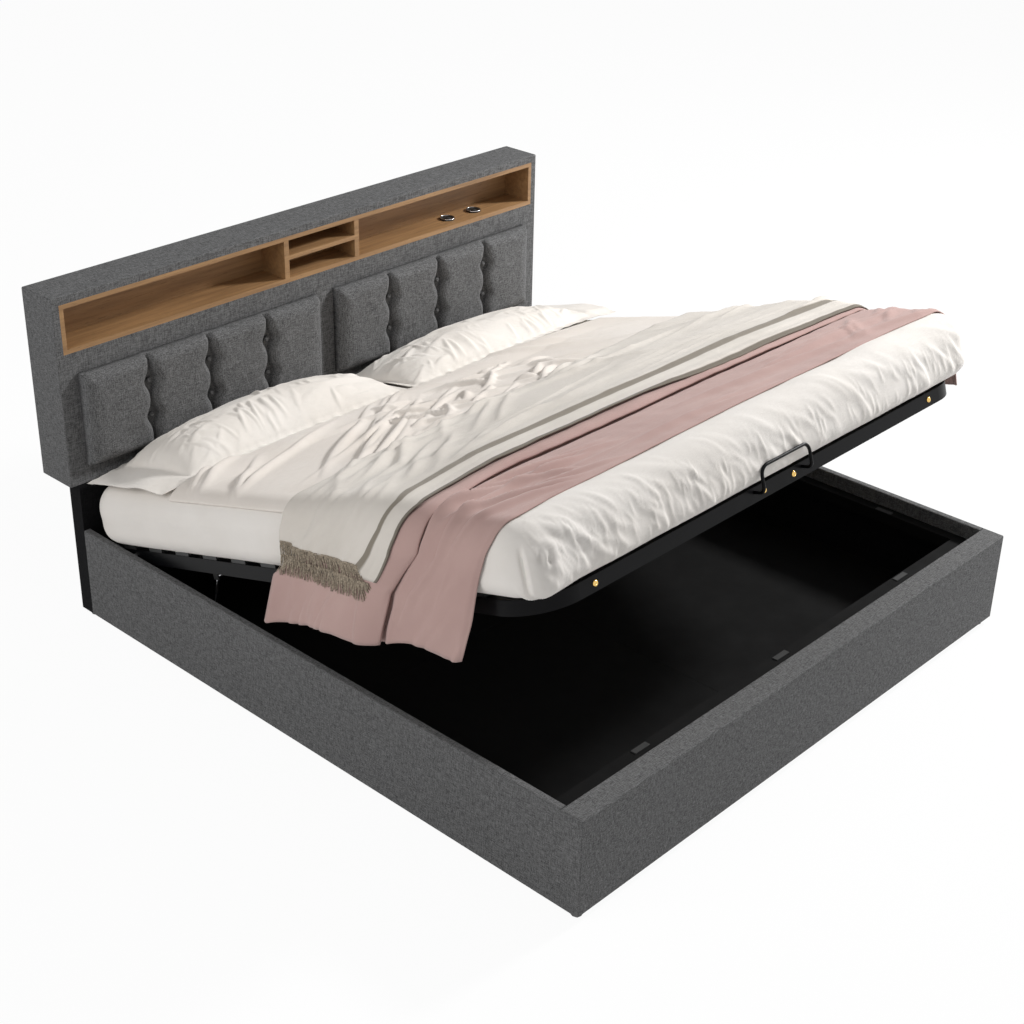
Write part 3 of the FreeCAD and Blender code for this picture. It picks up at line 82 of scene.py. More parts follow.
class Nodes:
    """A node tree, built node by node."""

    def __init__(self, tree: bpy.types.NodeTree) -> None:
        """Take the tree to build in."""
        self.tree = tree

    def feed(self, socket: Socket, value: Any) -> None:
        """Link a socket to another, or set its value.

        Args:
            socket: the input.
            value: an output to link, or a value to set.
        """
        if isinstance(value, Socket):
            self.tree.links.new(value, socket)
        else:
            socket.default_value = value

    def add(self, kind: str, sockets: dict[str, Any] | None = None, **options: Any) -> bpy.types.Node:
        """Add a node.

        Args:
            kind: the node's type, without its prefix.
            sockets: values or links for its inputs, by name.
            **options: the node's own settings.

        Returns:
            The new node.
        """
        node = self.tree.nodes.new("ShaderNode" + kind)
        for key, value in options.items():
            setattr(node, key, value)
        for key, value in (sockets or {}).items():
            self.feed(node.inputs[key], value)
        return node

    def math(self, operation: str, first: Any, second: Any = 0.0) -> Socket:
        """Return two values combined by one operation.

        Args:
            operation: its name.
            first: a value or an output.
            second: the other value or output.

        Returns:
            The result.
        """
        node = self.add("Math", operation=operation)
        self.feed(node.inputs[0], first)
        self.feed(node.inputs[1], second)
        return node.outputs[0]

    def straight_rays(self) -> Socket:
        """Return 1 for the camera's rays and for those that metal or glass sends on, else 0.

        Returns:
            An output that tells the rays apart.
        """
        rays = self.add("LightPath").outputs
        shown = self.math("MAXIMUM", rays["Is Camera Ray"], rays["Is Glossy Ray"])
        return self.math("MAXIMUM", shown, rays["Is Transmission Ray"])


class Recipe(Nodes):
    """One material's node tree."""

    def __init__(self, name: str, roughness: float, metallic: float = 0.0) -> None:
        """Start a material with its shader.

        Args:
            name: the material's name.
            roughness: the shader's roughness.
            metallic: the shader's metallic share.
        """
        self.material = bpy.data.materials.new(name)
        self.material.use_nodes = True
        super().__init__(self.material.node_tree)
        self.shader = self.tree.nodes["Principled BSDF"]
        self.shader.inputs["Roughness"].default_value = roughness
        self.shader.inputs["Metallic"].default_value = metallic

    def place(self, source: Coordinates, stretch: Sequence[float] = (1.0, 1.0, 1.0)) -> Socket:
        """Return pattern coordinates, scaled along each axis."""
        start = self.add("TexCoord").outputs[source.value]
        return self.add("Mapping", {"Vector": start, "Scale": stretch}).outputs["Vector"]

    def noise(self, scale: float, detail: float = 2.0, stretch: Sequence[float] = (1.0, 1.0, 1.0),
              source: Coordinates = Coordinates.OBJECT) -> Socket:
        """Return a noise value over stretched coordinates."""
        at = self.place(source, stretch)
        return self.add("TexNoise", {"Vector": at, "Scale": scale, "Detail": detail}).outputs["Fac"]

    def steep(self, value: Any, low: float, high: float) -> Socket:
        """Return a value spread from low..high to 0..1 and clamped."""
        return self.add("MapRange", {"Value": value, "From Min": low, "From Max": high}).outputs["Result"]

    def between(self, share: Any, first: Any, last: Any) -> Socket:
        """Return a colour mixed from two by a share."""
        sockets = {"Fac": share, "Color1": opaque(first), "Color2": opaque(last)}
        return self.add("MixRGB", sockets).outputs["Color"]

    def ramp(self, value: Any, low: float, high: float, first: Any, last: Any) -> Socket:
        """Return a colour that goes from one to another while a value goes from low to high."""
        return self.between(self.steep(value, low, high), first, last)

    def relief(self, height: Any, strength: float, distance: float) -> None:
        """Give the shader a bump from a height."""
        sockets = {"Height": height, "Strength": strength, "Distance": distance}
        self.feed(self.shader.inputs["Normal"], self.add("Bump", sockets).outputs["Normal"])

    def colour(self, value: Any) -> None:
        """Give the shader its colour."""
        self.feed(self.shader.inputs["Base Color"], opaque(value))


def shaded(colour: Colour, share: float) -> Colour:
    """Return a colour made lighter or darker by a share."""
    return tuple(min(1.0, max(0.0, part * share)) for part in colour)


@dataclass(frozen=True)
class HeatherLinen:
    """Woven grey upholstery cloth with slubs along and across its threads."""

    name: str = "grey_linen_weave"
    colour: Colour = (0.117, 0.117, 0.118)
    thread: float = 430.0
    run: float = 55.0
    contrast: float = 0.66

    def make(self) -> bpy.types.Material:
        """Return the material: short slubs along each axis, flecks, a faint cloud and a fine bump.

        Returns:
            The material.
        """
        recipe = Recipe(self.name, roughness=0.95)
        slubs = []
        for axis in range(3):
            stretch = [self.thread] * 3
            stretch[axis] = self.run
            slubs.append(recipe.noise(1.0, 1.0, stretch))
        lines = recipe.math("ADD", recipe.math("ADD", slubs[0], slubs[1]), slubs[2])
        threads = recipe.steep(lines, 1.15, 1.85)
        cloud, fleck = recipe.noise(9.0, 3.0), recipe.noise(300.0, 1.0)
        low, high = shaded(self.colour, 1 - self.contrast), shaded(self.colour, 1 + self.contrast)
        body = recipe.between(threads, low, high)
        worn = recipe.ramp(cloud, 0.3, 0.75, shaded(self.colour, 0.94), shaded(self.colour, 1.06))
        mixed = recipe.between(0.22, body, worn)
        recipe.colour(recipe.ramp(fleck, 0.6, 0.78, mixed, shaded(self.colour, 1.9)))
        recipe.shader.inputs["Specular IOR Level"].default_value = 0.12
        recipe.relief(recipe.math("ADD", threads, fleck), 0.45, 0.0012)
        return recipe.material


@dataclass(frozen=True)
class Oak:
    """Light oak veneer with its grain along the bed's width."""

    name: str = "light_oak_grain"
    pale: Colour = (0.36, 0.205, 0.090)
    dark: Colour = (0.17, 0.090, 0.038)
    grain: Sequence[float] = (2.2, 46.0, 46.0)

    def make(self) -> bpy.types.Material:
        """Return the material: long grain, pores and a broad figure.

        Returns:
            The material.
        """
        recipe = Recipe(self.name, roughness=0.5)
        lines = recipe.noise(1.6, 6.0, self.grain)
        pores = recipe.noise(1.8, 2.0, [part * 6 for part in self.grain])
        broad = recipe.noise(1.4, 2.0, (1.0, 6.0, 6.0))
        base = recipe.ramp(lines, 0.34, 0.66, self.dark, self.pale)
        tone = recipe.ramp(broad, 0.3, 0.7, shaded(self.pale, 0.82), shaded(self.pale, 1.1))
        mixed = recipe.between(0.45, base, tone)
        recipe.colour(recipe.ramp(pores, 0.62, 0.78, mixed, shaded(self.dark, 0.72)))
        recipe.relief(recipe.math("ADD", lines, pores), 0.18, 0.0006)
        return recipe.material


@dataclass(frozen=True)
class Board:
    """Planed softwood, raw board or birch: grain along the bed's width."""

    name: str
    pale: Colour
    dark: Colour
    roughness: float = 0.65
    grain: Sequence[float] = (2.0, 34.0, 34.0)

    def make(self) -> bpy.types.Material:
        """Return the material: grain stretched along the board.

        Returns:
            The material.
        """
        recipe = Recipe(self.name, roughness=self.roughness)
        lines, spots = recipe.noise(1.5, 5.0, self.grain), recipe.noise(60.0)
        base = recipe.ramp(lines, 0.35, 0.68, self.dark, self.pale)
        recipe.colour(recipe.ramp(spots, 0.6, 0.8, base, shaded(self.dark, 0.85)))
        recipe.relief(lines, 0.15, 0.0006)
        return recipe.material


@dataclass(frozen=True)
class Solid:
    """Powder coat, moulded plastic, rubber, bare metal or yarn."""

    name: str
    colour: Colour
    roughness: float
    metallic: float = 0.0
    grain: float = 700.0
    bump: float = 0.12
    gloss: float = 0.5
    patch: float = 11.0
    spread: float = 0.2
    blotched: bool = False

    def make(self) -> bpy.types.Material:
        """Return the material: fine grain, and smears in its roughness.

        Returns:
            The material.
        """
        recipe = Recipe(self.name, self.roughness, self.metallic)
        fine, smear = recipe.noise(self.grain), recipe.noise(self.patch, 4.0)
        tone = recipe.steep(smear, 0.3, 0.7) if self.blotched else smear
        low, high = shaded(self.colour, 1 - self.spread), shaded(self.colour, 1 + self.spread)
        recipe.colour(recipe.between(tone, low, high))
        sockets = {"Value": smear, "To Min": self.roughness * 0.8, "To Max": min(1.0, self.roughness * 1.2)}
        recipe.feed(recipe.shader.inputs["Roughness"], recipe.add("MapRange", sockets).outputs["Result"])
        recipe.shader.inputs["Specular IOR Level"].default_value = self.gloss
        recipe.relief(fine, self.bump, 0.0004)
        return recipe.material


@dataclass(frozen=True)
class Stripe:
    """A woven stripe, as a distance from the cloth's near edge."""

    centre: float
    half: float
    soft: float
    colour: Colour


@dataclass(frozen=True)
class Bedcloth:
    """Cotton, wool or quilted cloth whose pattern follows the piece's own UV map, in metres."""

    name: str
    colour: Colour
    tint: Colour
    thread: float = 0.0016
    crinkle: float = 0.25
    sheen: float = 0.15
    stripes: tuple[Stripe, ...] = ()
    quilt: float = 0.0

    def make(self) -> bpy.types.Material:
        """Return the material: threads both ways, fine crinkles, a tint and any stripes.

        Returns:
            The material.
        """
        recipe = Recipe(self.name, roughness=0.88)
        cloud = recipe.noise(3.2, 4.0, source=Coordinates.UV)
        colour = recipe.ramp(cloud, 0.32, 0.7, self.colour, self.tint)
        split = recipe.add("SeparateXYZ", {"Vector": recipe.place(Coordinates.UV)}).outputs
        for stripe in self.stripes:
            off = recipe.math("ABSOLUTE", recipe.math("SUBTRACT", split["Y"], stripe.centre))
            outer, inner = stripe.half + stripe.soft, stripe.half - stripe.soft
            colour = recipe.ramp(off, outer, inner, colour, stripe.colour)
        turns = [recipe.math("MULTIPLY", split[axis], math.tau / self.thread) for axis in "XY"]
        weave = recipe.math("MULTIPLY", *[recipe.math("SINE", turn) for turn in turns])
        crush = recipe.noise(26.0, 5.0, (1.0, 2.2, 1.0), Coordinates.UV)
        height = recipe.math("ADD", recipe.math("MULTIPLY", weave, 0.05), crush)
        if self.quilt:
            lift = [recipe.math("MULTIPLY", split[axis], math.pi / self.quilt) for axis in "XY"]
            sides = [recipe.math("ABSOLUTE", recipe.math("SINE", value)) for value in lift]
            height = recipe.math("ADD", height, recipe.math("MULTIPLY", recipe.math("MINIMUM", *sides), 2.0))
        recipe.colour(colour)
        recipe.shader.inputs["Specular IOR Level"].default_value = 0.15
        recipe.shader.inputs["Sheen Weight"].default_value = self.sheen
        recipe.shader.inputs["Sheen Roughness"].default_value = 0.45
        recipe.relief(height, self.crinkle, 0.006)
        return recipe.material


# Shapes


@dataclass(frozen=True)
class Platform:
    """The lifted platform's own directions: across, along from its foot, and up from its tubes."""

    hinge_y: float = 0.765
    hinge_z: float = 0.307
    reach: float = 1.775
    lift: float = math.radians(17.1)

    def place(self, across: Array, along: Array, up: Array) -> Array:
        """Return places in the row frame: a turn about the hinge line.

        Args:
            across: distances from the middle of the bed.
            along: distances from the platform's foot towards the head.
            up: heights over the middle of the tubes.

        Returns:
            The points, one more axis than the inputs.
        """
        run = along - self.reach
        y = self.hinge_y + run * math.cos(self.lift) + up * math.sin(self.lift)
        z = self.hinge_z - run * math.sin(self.lift) + up * math.cos(self.lift)
        return np.stack(np.broadcast_arrays(across, y, z), axis=-1)

    def settle(self, points: Array) -> Array:
        """Return row-frame points as across, along and up: the same turn, backwards.

        Args:
            points: places in the row frame.

        Returns:
            Across, along and up for each place.
        """
        run, rise = points[..., 1] - self.hinge_y, points[..., 2] - self.hinge_z
        along = run * math.cos(self.lift) - rise * math.sin(self.lift) + self.reach
        up = run * math.sin(self.lift) + rise * math.cos(self.lift)
        return np.stack([points[..., 0], along, up], axis=-1)


PLATFORM = Platform()


@dataclass(frozen=True)
class BedTop:
    """The mattress's top and sides unrolled: cloth is placed by its distance across, along and off it."""

    half: float = 1.040
    bend: float = 0.085
    top: float = 0.2293

    @property
    def flat(self) -> float:
        """Half the width that is flat."""
        return self.half - self.bend

    @property
    def side(self) -> float:
        """The unrolled distance at which the side begins."""
        return self.flat + self.bend * math.pi / 2

    def place(self, across: Array, along: Array, height: Array) -> Array:
        """Return row-frame points: flat, then a quarter round, then straight down, each lifted by height.

        Args:
            across: unrolled distances across the bed.
            along: distances from the platform's foot.
            height: lifts off the mattress.

        Returns:
            Points in the row frame.
        """
        past = np.clip(np.abs(across) - self.flat, 0, None)
        turn = np.clip(past / self.bend, 0, math.pi / 2)
        drop = np.clip(past - self.bend * math.pi / 2, 0, None)
        x = np.sign(across) * (np.minimum(np.abs(across), self.flat) + (self.bend + height) * np.sin(turn))
        up = self.top - self.bend + (self.bend + height) * np.cos(turn) - drop
        return PLATFORM.place(x, along, up)


BED_TOP = BedTop()


def smooth(value: Array, low: float, high: float) -> Array:
    """Return a soft step from 0 at low to 1 at high: 3t squared less 2t cubed."""
    share = np.clip((value - low) / (high - low), 0, 1)
    return share * share * (3 - 2 * share)


def hump(value: Array, low: float, high: float) -> Array:
    """Return a half sine that rises between low and high, and 0 outside."""
    return np.sin(np.pi * np.clip((value - low) / (high - low), 0, 1))


def quarter(steps: int) -> tuple[Array, Array]:
    """Return one less the sine and one less the cosine of even steps over a quarter turn."""
    turn = np.linspace(0, math.pi / 2, steps)
    return 1 - np.sin(turn), 1 - np.cos(turn)


def plateau(value: Array, rise: Sequence[Any], fall: Sequence[Any]) -> Array:
    """Return 1 between a soft rise and a soft fall, each from one place to another, and 0 outside."""
    return smooth(value, *rise) * (1 - smooth(value, *fall))


def crossed(rows: Array, columns: Array) -> tuple[Array, Array]:
    """Return a grid of every pair of two lists of places, the first running down the rows."""
    return np.meshgrid(rows, columns, indexing="ij")


def folds(u: Array, v: Array, seed: int, count: int, wave: Sequence[float], turn: Sequence[float],
          sharp: float) -> Array:
    """Return a crease field from 0 to 1.

    Each wave is a bent sine, and one less its size to a power makes narrow ridges where it passes zero.

    Args:
        u: first coordinate, in metres.
        v: second coordinate, in metres.
        seed: fixes the waves.
        count: how many waves are averaged.
        wave: shortest and longest wave.
        turn: least and greatest direction of the waves, in degrees.
        sharp: power; less makes sharper ridges.

    Returns:
        The field, shaped like u and v.
    """
    pick = np.random.default_rng(seed)
    total = np.zeros(np.broadcast(u, v).shape)
    for _ in range(count):
        length, way = pick.uniform(*wave), math.radians(pick.uniform(*turn))
        phase, bend, sway = pick.uniform(0, math.tau, 3)
        on = u * math.cos(way) + v * math.sin(way)
        off = v * math.cos(way) - u * math.sin(way)
        swerve = 1.1 * np.sin(math.tau * off / (length * 4.1) + bend) + 0.5 * np.sin(off / length + sway)
        total = total + 1 - np.abs(np.sin(math.pi * on / length + phase + swerve)) ** sharp
    return total / count


def swell(u: Array, v: Array, seed: int, wave: float) -> Array:
    """Return soft noise from -1 to 1: six sines of nearby lengths in random directions, averaged.

    Args:
        u: first coordinate, in metres.
        v: second coordinate, in metres.
        seed: fixes the sines.
        wave: their middle length.

    Returns:
        The noise, shaped like u and v.
    """
    pick = np.random.default_rng(seed)
    total = np.zeros(np.broadcast(u, v).shape)
    for _ in range(6):
        length = wave * pick.uniform(0.7, 1.4)
        way, phase = pick.uniform(0, math.tau), pick.uniform(0, math.tau)
        total = total + np.sin(math.tau * (u * math.cos(way) + v * math.sin(way)) / length + phase)
    return total / 6 * 1.6


@dataclass(frozen=True)
class Creases:
    """Creases strewn over a stretch of cloth: each a bent ridge with one long flank and one steep one.

    A ridge's height falls off as a bell across it, and to nothing at both its ends.
    """

    seed: int
    count: int
    u: tuple[float, float]
    v: tuple[float, float]
    turn: tuple[float, float]
    length: tuple[float, float]
    width: tuple[float, float]
    rise: tuple[float, float]
    steep: float
    bend: float

    def height(self, u: Array, v: Array) -> Array:
        """Return the creases' height at places given by two distances, in metres.

        Args:
            u: first coordinate, in metres.
            v: second coordinate, in metres.

        Returns:
            Heights, shaped like u and v.
        """
        pick = np.random.default_rng(self.seed)
        total = np.zeros(np.broadcast(u, v).shape)
        for _ in range(self.count):
            middle_u, middle_v = pick.uniform(*self.u), pick.uniform(*self.v)
            way, long = math.radians(pick.uniform(*self.turn)), pick.uniform(*self.length)
            wide, rise = pick.uniform(*self.width), pick.uniform(*self.rise)
            curve = pick.uniform(-self.bend, self.bend) / long
            step_u, step_v = u - middle_u, v - middle_v
            on = step_u * math.cos(way) + step_v * math.sin(way)
            off = step_v * math.cos(way) - step_u * math.sin(way) - curve * on * on
            flank = np.where(off > 0, wide * self.steep, wide)
            ends = np.clip(1 - (2 * on / long) ** 2, 0, 1) ** 1.4
            ridge = rise * ends * np.exp(-((off / flank) ** 2))
            total = np.maximum(total, ridge) + 0.3 * np.minimum(total, ridge)
        return total


def strewn(u: Array, v: Array, sets: Sequence[Creases]) -> list[Array]:
    """Return the heights of several sets of creases at the same places."""
    return [one.height(u, v) for one in sets]


def linked(name: str, data: bpy.types.ID) -> Piece:
    """Return a new object that holds some data, linked to the scene.

    Args:
        name: the object's name.
        data: its mesh, lamp or camera.

    Returns:
        The object.
    """
    piece = bpy.data.objects.new(name, data)
    bpy.context.scene.collection.objects.link(piece)
    return piece


def mesh_object(name: str, points: Array, faces: Array, uv: Array | None = None) -> Piece:
    """Return an object from arrays.

    Args:
        name: the piece's name.
        points: its vertices, in rows.
        faces: its faces' corners, in rows of equal length.
        uv: a UV place for each vertex, in metres.

    Returns:
        The smooth-shaded object, linked to the scene.
    """
    mesh = bpy.data.meshes.new(name)
    size = faces.shape[1]
    mesh.vertices.add(len(points))
    mesh.vertices.foreach_set("co", np.ascontiguousarray(points, np.float32).ravel())
    mesh.loops.add(faces.size)
    mesh.loops.foreach_set("vertex_index", faces.astype(np.int32).ravel())
    mesh.polygons.add(len(faces))
    mesh.polygons.foreach_set("loop_start", np.arange(0, faces.size, size, dtype=np.int32))
    mesh.polygons.foreach_set("use_smooth", np.ones(len(faces), bool))
    mesh.update(calc_edges=True)
    if uv is not None:
        layer = mesh.uv_layers.new(name="cloth")
        layer.data.foreach_set("uv", uv[faces.ravel()].astype(np.float32).ravel())
    mesh.validate()
    return linked(name, mesh)


def grid_faces(rows: int, columns: int, around: bool = False) -> Array:
    """Return the corners of a grid's quads, joined round in its columns if asked.

    Args:
        rows: how many rows of points.
        columns: how many columns.
        around: whether the last column joins the first.

    Returns:
        Four point numbers for each quad.
    """
    index = np.arange(rows * columns).reshape(rows, columns)
    if around:
        index = np.concatenate([index, index[:, :1]], axis=1)
    return np.stack([index[:-1, :-1], index[:-1, 1:], index[1:, 1:], index[1:, :-1]], axis=-1).reshape(-1, 4)


def repeated(faces: Array, copies: int, count: int) -> Array:
    """Return a form's faces once for each of its copies, each of which has the same count of points."""
    return (faces[None] + (np.arange(copies) * count)[:, None, None]).reshape(-1, faces.shape[1])


def surface(name: str, points: Array, uv: Array | None = None, around: bool = False) -> Piece:
    """Return a grid of points as an object, optionally joined round in its columns.

    Args:
        name: the piece's name.
        points: its grid of places.
        uv: a UV place for each of them, in metres.
        around: whether the last column joins the first.

    Returns:
        The object.
    """
    rows, columns = points.shape[:2]
    flat_uv = None if uv is None else uv.reshape(-1, 2)
    return mesh_object(name, points.reshape(-1, 3), grid_faces(rows, columns, around), flat_uv)


def cleaned(piece: Piece, merge: float = 1e-5, fill: bool = False) -> Piece:
    """Merge doubled points, close open rims if asked, and turn the faces outwards.

    Args:
        piece: the object to clean.
        merge: the distance within which points are one.
        fill: whether open rims are closed.

    Returns:
        The same object.
    """
    work = bmesh.new()
    work.from_mesh(piece.data)
    bmesh.ops.remove_doubles(work, verts=work.verts, dist=merge)
    if fill:
        bmesh.ops.holes_fill(work, edges=[edge for edge in work.edges if edge.is_boundary], sides=0)
    bmesh.ops.recalc_face_normals(work, faces=work.faces)
    work.to_mesh(piece.data)
    work.free()
    return piece


def turned(name: str, profile: Array, places: Array, axis: Array, sides: int) -> Piece:
    """Return one profile turned about an axis, repeated at several places.

    Args:
        name: the piece's name.
        profile: rows of radius and height along the axis.
        places: where each copy stands.
        axis: the axis's direction.
        sides: how many steps a turn has.

    Returns:
        The object, closed at its poles.
    """
    up = axis / np.linalg.norm(axis)
    first = np.cross(up, [0.3, 0.5, 0.81])
    first /= np.linalg.norm(first)
    second = np.cross(up, first)
    turn = np.arange(sides) * math.tau / sides
    ring = np.cos(turn)[:, None] * first + np.sin(turn)[:, None] * second
    one = profile[:, None, :1] * ring[None] + profile[:, None, 1:] * up
    points = places[:, None, None, :] + one[None]
    faces = repeated(grid_faces(len(profile), sides, True), len(places), len(profile) * sides)
    return cleaned(mesh_object(name, points.reshape(-1, 3), faces))


def swept(name: str, path: Array, radius: float, sides: int = 20) -> Piece:
    """Return a round bar along a path: a ring square to the path at each of its points.

    Args:
        name: the piece's name.
        path: its middle line.
        radius: the bar's radius.
        sides: how many sides it has.

    Returns:
        The object, closed at both ends.
    """
    way = np.gradient(path, axis=0)
    way /= np.linalg.norm(way, axis=1, keepdims=True)
    first = np.cross(way, np.array([0.577, 0.577, 0.577]))
    first /= np.linalg.norm(first, axis=1, keepdims=True)
    second = np.cross(way, first)
    turn = np.arange(sides) * math.tau / sides
    ring = np.cos(turn)[None, :, None] * first[:, None] + np.sin(turn)[None, :, None] * second[:, None]
    return cleaned(surface(name, path[:, None] + radius * ring, around=True), fill=True)


def wall(piece: Piece, thick: float, side: float = 1.0) -> None:
    """Give an open surface a thickness; side 1 adds it outwards."""
    solid = piece.modifiers.new("thickness", "SOLIDIFY")
    solid.thickness, solid.offset, solid.use_rim = thick, side, True


# Frame finishes

Finish = HeatherLinen | Oak | Board | Solid | Bedcloth
FRAME_SLOTS: dict[str, Finish] = {
    "grey_linen": HeatherLinen(),
    "black_lining": HeatherLinen("black_lining_cloth", (0.004, 0.004, 0.0045)),
    "light_oak": Oak(),
    "black_steel": Solid("black_powder_coat", (0.0025, 0.0025, 0.003), 0.34, grain=900.0, gloss=0.1),
    "black_plastic": Solid("black_moulded_plastic", (0.012, 0.012, 0.012), 0.5),
    "black_rubber": Solid("black_rubber_pad", (0.01, 0.01, 0.01), 0.8, bump=0.3),
    "bright_steel": Solid("bright_zinc", (0.55, 0.55, 0.56), 0.3, 1.0),
    "chrome": Solid("polished_chrome", (0.78, 0.78, 0.8), 0.12, 1.0, bump=0.02),
    "brass": Solid("polished_brass", (0.86, 0.56, 0.19), 0.2, 1.0, bump=0.03),
    "black_board": Solid("black_faced_board", (0.003, 0.003, 0.003), 0.85, grain=300.0, gloss=0.1),
    "particle_board": Board("raw_particle_board", (0.42, 0.30, 0.18), (0.27, 0.18, 0.10)),
    "pine": Board("planed_pine", (0.58, 0.39, 0.21), (0.42, 0.25, 0.12)),
    "birch": Board("bent_birch", (0.66, 0.50, 0.30), (0.50, 0.35, 0.19), 0.5),
}


class Finishes:
    """Materials by the record's slots, each made once."""

    def __init__(self, slots: dict[str, Finish]) -> None:
        """Make the material of each slot."""
        self.by_slot = {slot: finish.make() for slot, finish in slots.items()}

    def dress(self, piece: Piece, slot: str, body: Body, *nodes: str) -> Piece:
        """Give a piece the material of its slot, put it on its body, and hide the CAD nodes that it stands
        for.

        Args:
            piece: the new piece.
            slot: its slot in the record.
            body: the body that it rides on.
            *nodes: the CAD nodes that it stands for.

        Returns:
            The same piece.
        """
        piece.data.materials.clear()
        piece.data.materials.append(self.by_slot[slot])
        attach(piece, body.value)
        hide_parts(*nodes)
        log.info("%s: %d faces on %s", piece.name, len(piece.data.polygons), body.value)
        return piece

    def apply(self) -> None:
        """Give each CAD node the finish of its slot."""
        for entry in frame["record"]["subparts"]:
            node = frame["nodes"][entry["node"]]
            material = self.by_slot.get(entry["material_slot"])
            if material is not None:
                node.data.materials.clear()
                node.data.materials.append(material)
        log.info("frame finishes: %d slots", len(self.by_slot))


# Headboard


@dataclass
class TuftedPads:
    """Two pads of upright channels, drawn in at their buttoned seams."""

    inner: float = 0.040
    outer: float = 1.002
    bottom: float = 0.556
    top: float = 0.867
    wall_y: float = 0.980
    depth: float = 0.048
    channels: int = 4
    seam: float = 0.36
    flank: float = 0.034
    outer_flank: float = 0.026
    gap: float = 0.0012
    pinch: float = 0.0185
    pinch_reach: float = 0.030
    corner: float = 0.020
    button_shares: tuple[float, float] = (0.328, 0.714)
    button_radius: float = 0.0095
    button_rise: float = 0.006
    pucker_reach: float = 0.03
    puckers: int = 8
    sag: float = 0.0020
    steps: tuple[int, int] = (421, 151)

    @property
    def width(self) -> float:
        """The width of one channel."""
        return (self.outer - self.inner) / self.channels

    @property
    def levels(self) -> list[float]:
        """The heights of the two rows of buttons."""
        return [self.bottom + share * (self.top - self.bottom) for share in self.button_shares]

    def depth_at(self, x: Array, z: Array) -> Array:
        """Return how far the cloth stands off the wall.

        Each channel is a rounded oblong that rises by a quarter round from its outline. Its sides almost
        meet the next channel's, and draw in where a button holds the seam.

        Args:
            x: distances from the middle of the bed, all positive.
            z: heights.

        Returns:
            Depths in metres.
        """
        width, heights = self.width, self.levels
        place = (x - self.inner) / width
        seam_x = self.inner + np.clip(np.round(place), 1, self.channels - 1) * width
        cell_x = self.inner + (np.clip(np.floor(place), 0, self.channels - 1) + 0.5) * width
        pull = np.clip(sum(np.exp(-((z - height) / self.pinch_reach) ** 2) for height in heights), 0, 1)
        by_seam = np.abs(x - seam_x) < width / 2
        half_x = width / 2 - np.where(by_seam, self.gap + self.pinch * pull, 0.0)
        half_z = (self.top - self.bottom) / 2
        past_x = np.abs(x - cell_x) - half_x + self.corner
        past_z = np.abs(z - (self.top + self.bottom) / 2) - half_z + self.corner
        outside = np.hypot(np.clip(past_x, 0, None), np.clip(past_z, 0, None))
        near = self.corner - outside - np.minimum(np.maximum(past_x, past_z), 0)
        outer_side = 1 - smooth(np.minimum(x - self.inner, self.outer - x), 0.04, 0.12)
        off = 1 - np.clip(near / (self.flank + self.outer_flank * outer_side), 0, 1)
        crown = self.seam + (1 - self.seam) * np.sqrt(np.clip(1 - off * off, 0, 1))
        reach = [np.hypot(x - seam_x, z - height) for height in heights]
        turn = [np.arctan2(z - height, x - seam_x) for height in heights]
        gather = sum(np.exp(-far / self.pucker_reach) * np.sin(self.puckers * way + 1.1)
                     for far, way in zip(reach, turn))
        middle = np.clip(np.abs(x - cell_x) / (width / 2), 0, 1) ** 2
        puff = 0.0014 * swell(x, z, 5, 0.13) + 0.0009 * gather * (1 - off) - self.sag * middle
        return self.depth * crown + puff * (1 - off)

    def one(self, side: int) -> Piece:
        """Return one pad as a closed form: a front grid whose rim goes straight back to the wall.

        Args:
            side: -1 for the left pad and 1 for the right.

        Returns:
            The pad.
        """
        columns, rows = self.steps
        across, up = np.linspace(self.inner, self.outer, columns), np.linspace(self.bottom, self.top, rows)
        x, z = np.meshgrid(across, up)
        y = self.wall_y - self.depth_at(x, z)
        pad_x = np.pad(x, 1, mode="edge")
        pad_z = np.pad(z, 1, mode="edge")
        pad_y = np.pad(y, 1, constant_values=self.wall_y)
        points = np.stack([side * pad_x, pad_y, pad_z], axis=-1)
        name = "tufted_pad_cloth_" + ("left" if side < 0 else "right")
        return cleaned(surface(name, points), fill=True)

    def buttons(self) -> Piece:
        """Return the cloth buttons: a dome over a short neck, turned about the bed's length.

        Returns:
            All the buttons as one piece.
        """
        xs = self.inner + np.arange(1, self.channels) * self.width
        x, z = (grid.ravel() for grid in np.meshgrid(xs, self.levels))
        y = self.wall_y - self.depth_at(x, z)
        one = np.stack([x, y, z], axis=-1)
        places = np.concatenate([one * [-1, 1, 1], one])
        turn = np.linspace(0, math.pi / 2, 9)
        rise = self.button_rise + self.button_rise * np.sin(turn)
        dome = np.stack([self.button_radius * np.cos(turn), rise], axis=-1)
        neck, brim = self.button_radius * 0.6, self.button_radius * 0.95
        foot = np.array([[0.0, -0.003], [neck, -0.003], [brim, 0.004]])
        return turned("tuft_buttons", np.concatenate([foot, dome]), places, np.array([0.0, -1.0, 0.0]), 24)

    def build(self, finishes: Finishes) -> None:
        """Make both pads and their buttons.

        Args:
            finishes: the materials by slot.
        """
        for side, name in ((-1, "left"), (1, "right")):
            pad = finishes.dress(self.one(side), "grey_linen", Body.BOX, "tufted_pad_" + name)
        finishes.dress(self.buttons(), "grey_linen", Body.BOX, "pad_buttons")


